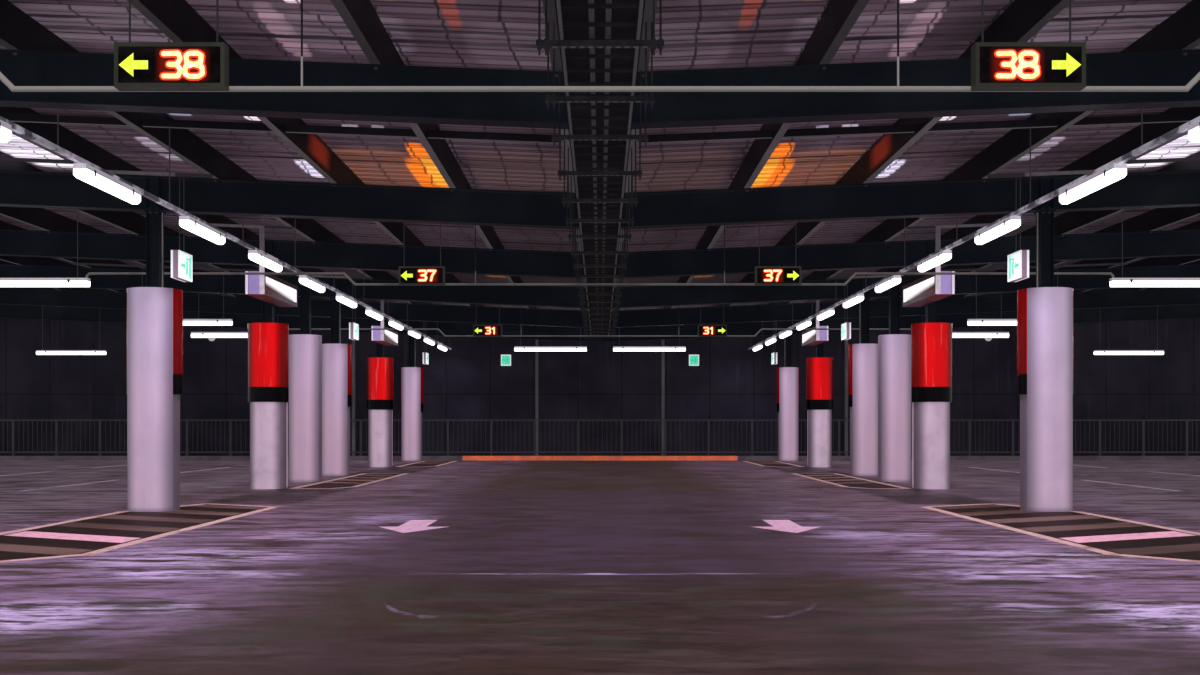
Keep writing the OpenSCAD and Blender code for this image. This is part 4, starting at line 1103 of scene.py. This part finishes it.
# %% Light clips
clips = bmesh.new()
JOINT_AISLE, JOINT_SIDE = 3.215, 3.125
for s in MIRROR:
    for line in LINES[:-1]:
        for place in (1.0, 3.53):
            for along in (-0.42, 0.42):
                y = line + place + along
                for a, b in ((3.997, 4.0), (4.1, 4.103)):
                    box(clips, sorted((s * a, s * b)), (y - 0.015, y + 0.015), (JOINT_AISLE - 0.026, JOINT_AISLE + 0.022))
    spots = [(x, y) for x in (7.69, 13.85) for y in (-12.5, -5.85, -2.5, 4.15, 7.5, 14.15)] + [(1.23, 12.5)]
    for x, y in spots:
        for along in (-0.65, 0.65):
            at = s * (x + along)
            for a, b in ((y - 0.053, y - 0.05), (y + 0.05, y + 0.053)):
                box(clips, (at - 0.015, at + 0.015), (a, b), (JOINT_SIDE - 0.026, JOINT_SIDE + 0.022))
new_piece("light_clips", clips, BOLT)

# %% [markdown]
# # Feet of the guard rail
# Each rail post stands on a welded foot plate with a bolt at each side of the post. The
# plate's corners are cut, as a guillotined plate's are, and it is as wide as the kerb allows.

# %% Rail feet
feet = bmesh.new()
for i in range(32):
    x = -18.29 + 1.18 * i
    box(feet, (x - 0.075, x + 0.075), (15.335, 15.445), (0.37, 0.378), 0.015)
    for side in (-0.052, 0.052):
        disc(feet, (x + side, 15.39, 0.378), 0.012, 0.010)
new_piece("rail_feet", feet, RAIL)

# %% [markdown]
# # Floor, backdrop and lights
# The model stands on a plain pale floor. A studio level of light comes from six even suns
# along the axes, so a colour shows about as it is written, and soft lamps under the light
# rows add the pools and the gloss that the fittings give in the real place.

# %% Stage
def stage_floor():
    mesh = bmesh.new()
    reach = 160
    flat_plate(mesh, [(-reach, -reach), (reach, -reach), (reach, reach), (-reach, reach)], -0.02, 0.015)
    data = bpy.data.meshes.new("studio_floor")
    bmesh.ops.recalc_face_normals(mesh, faces=mesh.faces)
    mesh.to_mesh(data)
    mesh.free()
    obj = bpy.data.objects.new("studio_floor", data)
    bpy.context.scene.collection.objects.link(obj)
    f = Finish("studio_floor", Roughness=0.9)
    f.feed("Base Color", f.mix((0.80, 0.80, 0.81), (0.78, 0.78, 0.79), f.noise(0.3, 3)))
    data.materials.append(f.material)
    return obj


def sun(name, direction, level):
    data = bpy.data.lights.new(name, "SUN")
    data.energy = level
    data.angle = math.radians(20)
    data.use_shadow = False
    obj = bpy.data.objects.new(name, data)
    obj.rotation_euler = Vector(direction).to_track_quat("-Z", "Y").to_euler()
    bpy.context.scene.collection.objects.link(obj)
    obj.visible_glossy = False
    return obj


def soft_lamp(name, centre, size, power, colour, down=True):
    """An area lamp that lights surfaces and doesn't show itself."""
    data = bpy.data.lights.new(name, "AREA")
    data.shape = "RECTANGLE"
    data.size, data.size_y = size
    data.energy = power
    data.color = colour
    obj = bpy.data.objects.new(name, data)
    obj.location = centre
    obj.rotation_euler = (0, 0, 0) if down else (math.pi, 0, 0)
    bpy.context.scene.collection.objects.link(obj)
    obj.visible_camera = False
    obj.visible_glossy = False
    return obj


def pale_world():
    world = bpy.data.worlds.new("studio")
    bpy.context.scene.world = world
    world.use_nodes = True
    tree = world.node_tree
    back = tree.nodes["Background"]
    path = tree.nodes.new("ShaderNodeLightPath")
    seen = tree.nodes.new("ShaderNodeMath")
    seen.operation = "MAXIMUM"
    tree.links.new(path.outputs["Is Camera Ray"], seen.inputs[0])
    tree.links.new(path.outputs["Is Glossy Ray"], seen.inputs[1])
    level = tree.nodes.new("ShaderNodeMapRange")
    level.inputs["To Min"].default_value = 0.35
    level.inputs["To Max"].default_value = 0.82
    tree.links.new(seen.outputs[0], level.inputs["Value"])
    back.inputs["Color"].default_value = (0.97, 0.97, 1.0, 1)
    tree.links.new(level.outputs[0], back.inputs["Strength"])


stage_floor()
pale_world()
LEVEL = 2.0
for name, direction, share in (
        ("sun_down", (0, 0, -1), 1.0), ("sun_up", (0, 0, 1), 0.9), ("sun_north", (0, 1, 0), 0.95),
        ("sun_south", (0, -1, 0), 0.9), ("sun_east", (1, 0, 0), 0.6), ("sun_west", (-1, 0, 0), 0.6)):
    sun(name, direction, LEVEL * share)
LIGHT_X = 4.05
for s in MIRROR:
    soft_lamp(f"row_light_{'right' if s > 0 else 'left'}", (s * LIGHT_X, 0, 3.12), (0.5, 30), 420, (0.93, 0.88, 1.0))
bpy.context.scene.view_settings.view_transform = "Standard"
print("stage and lights set")
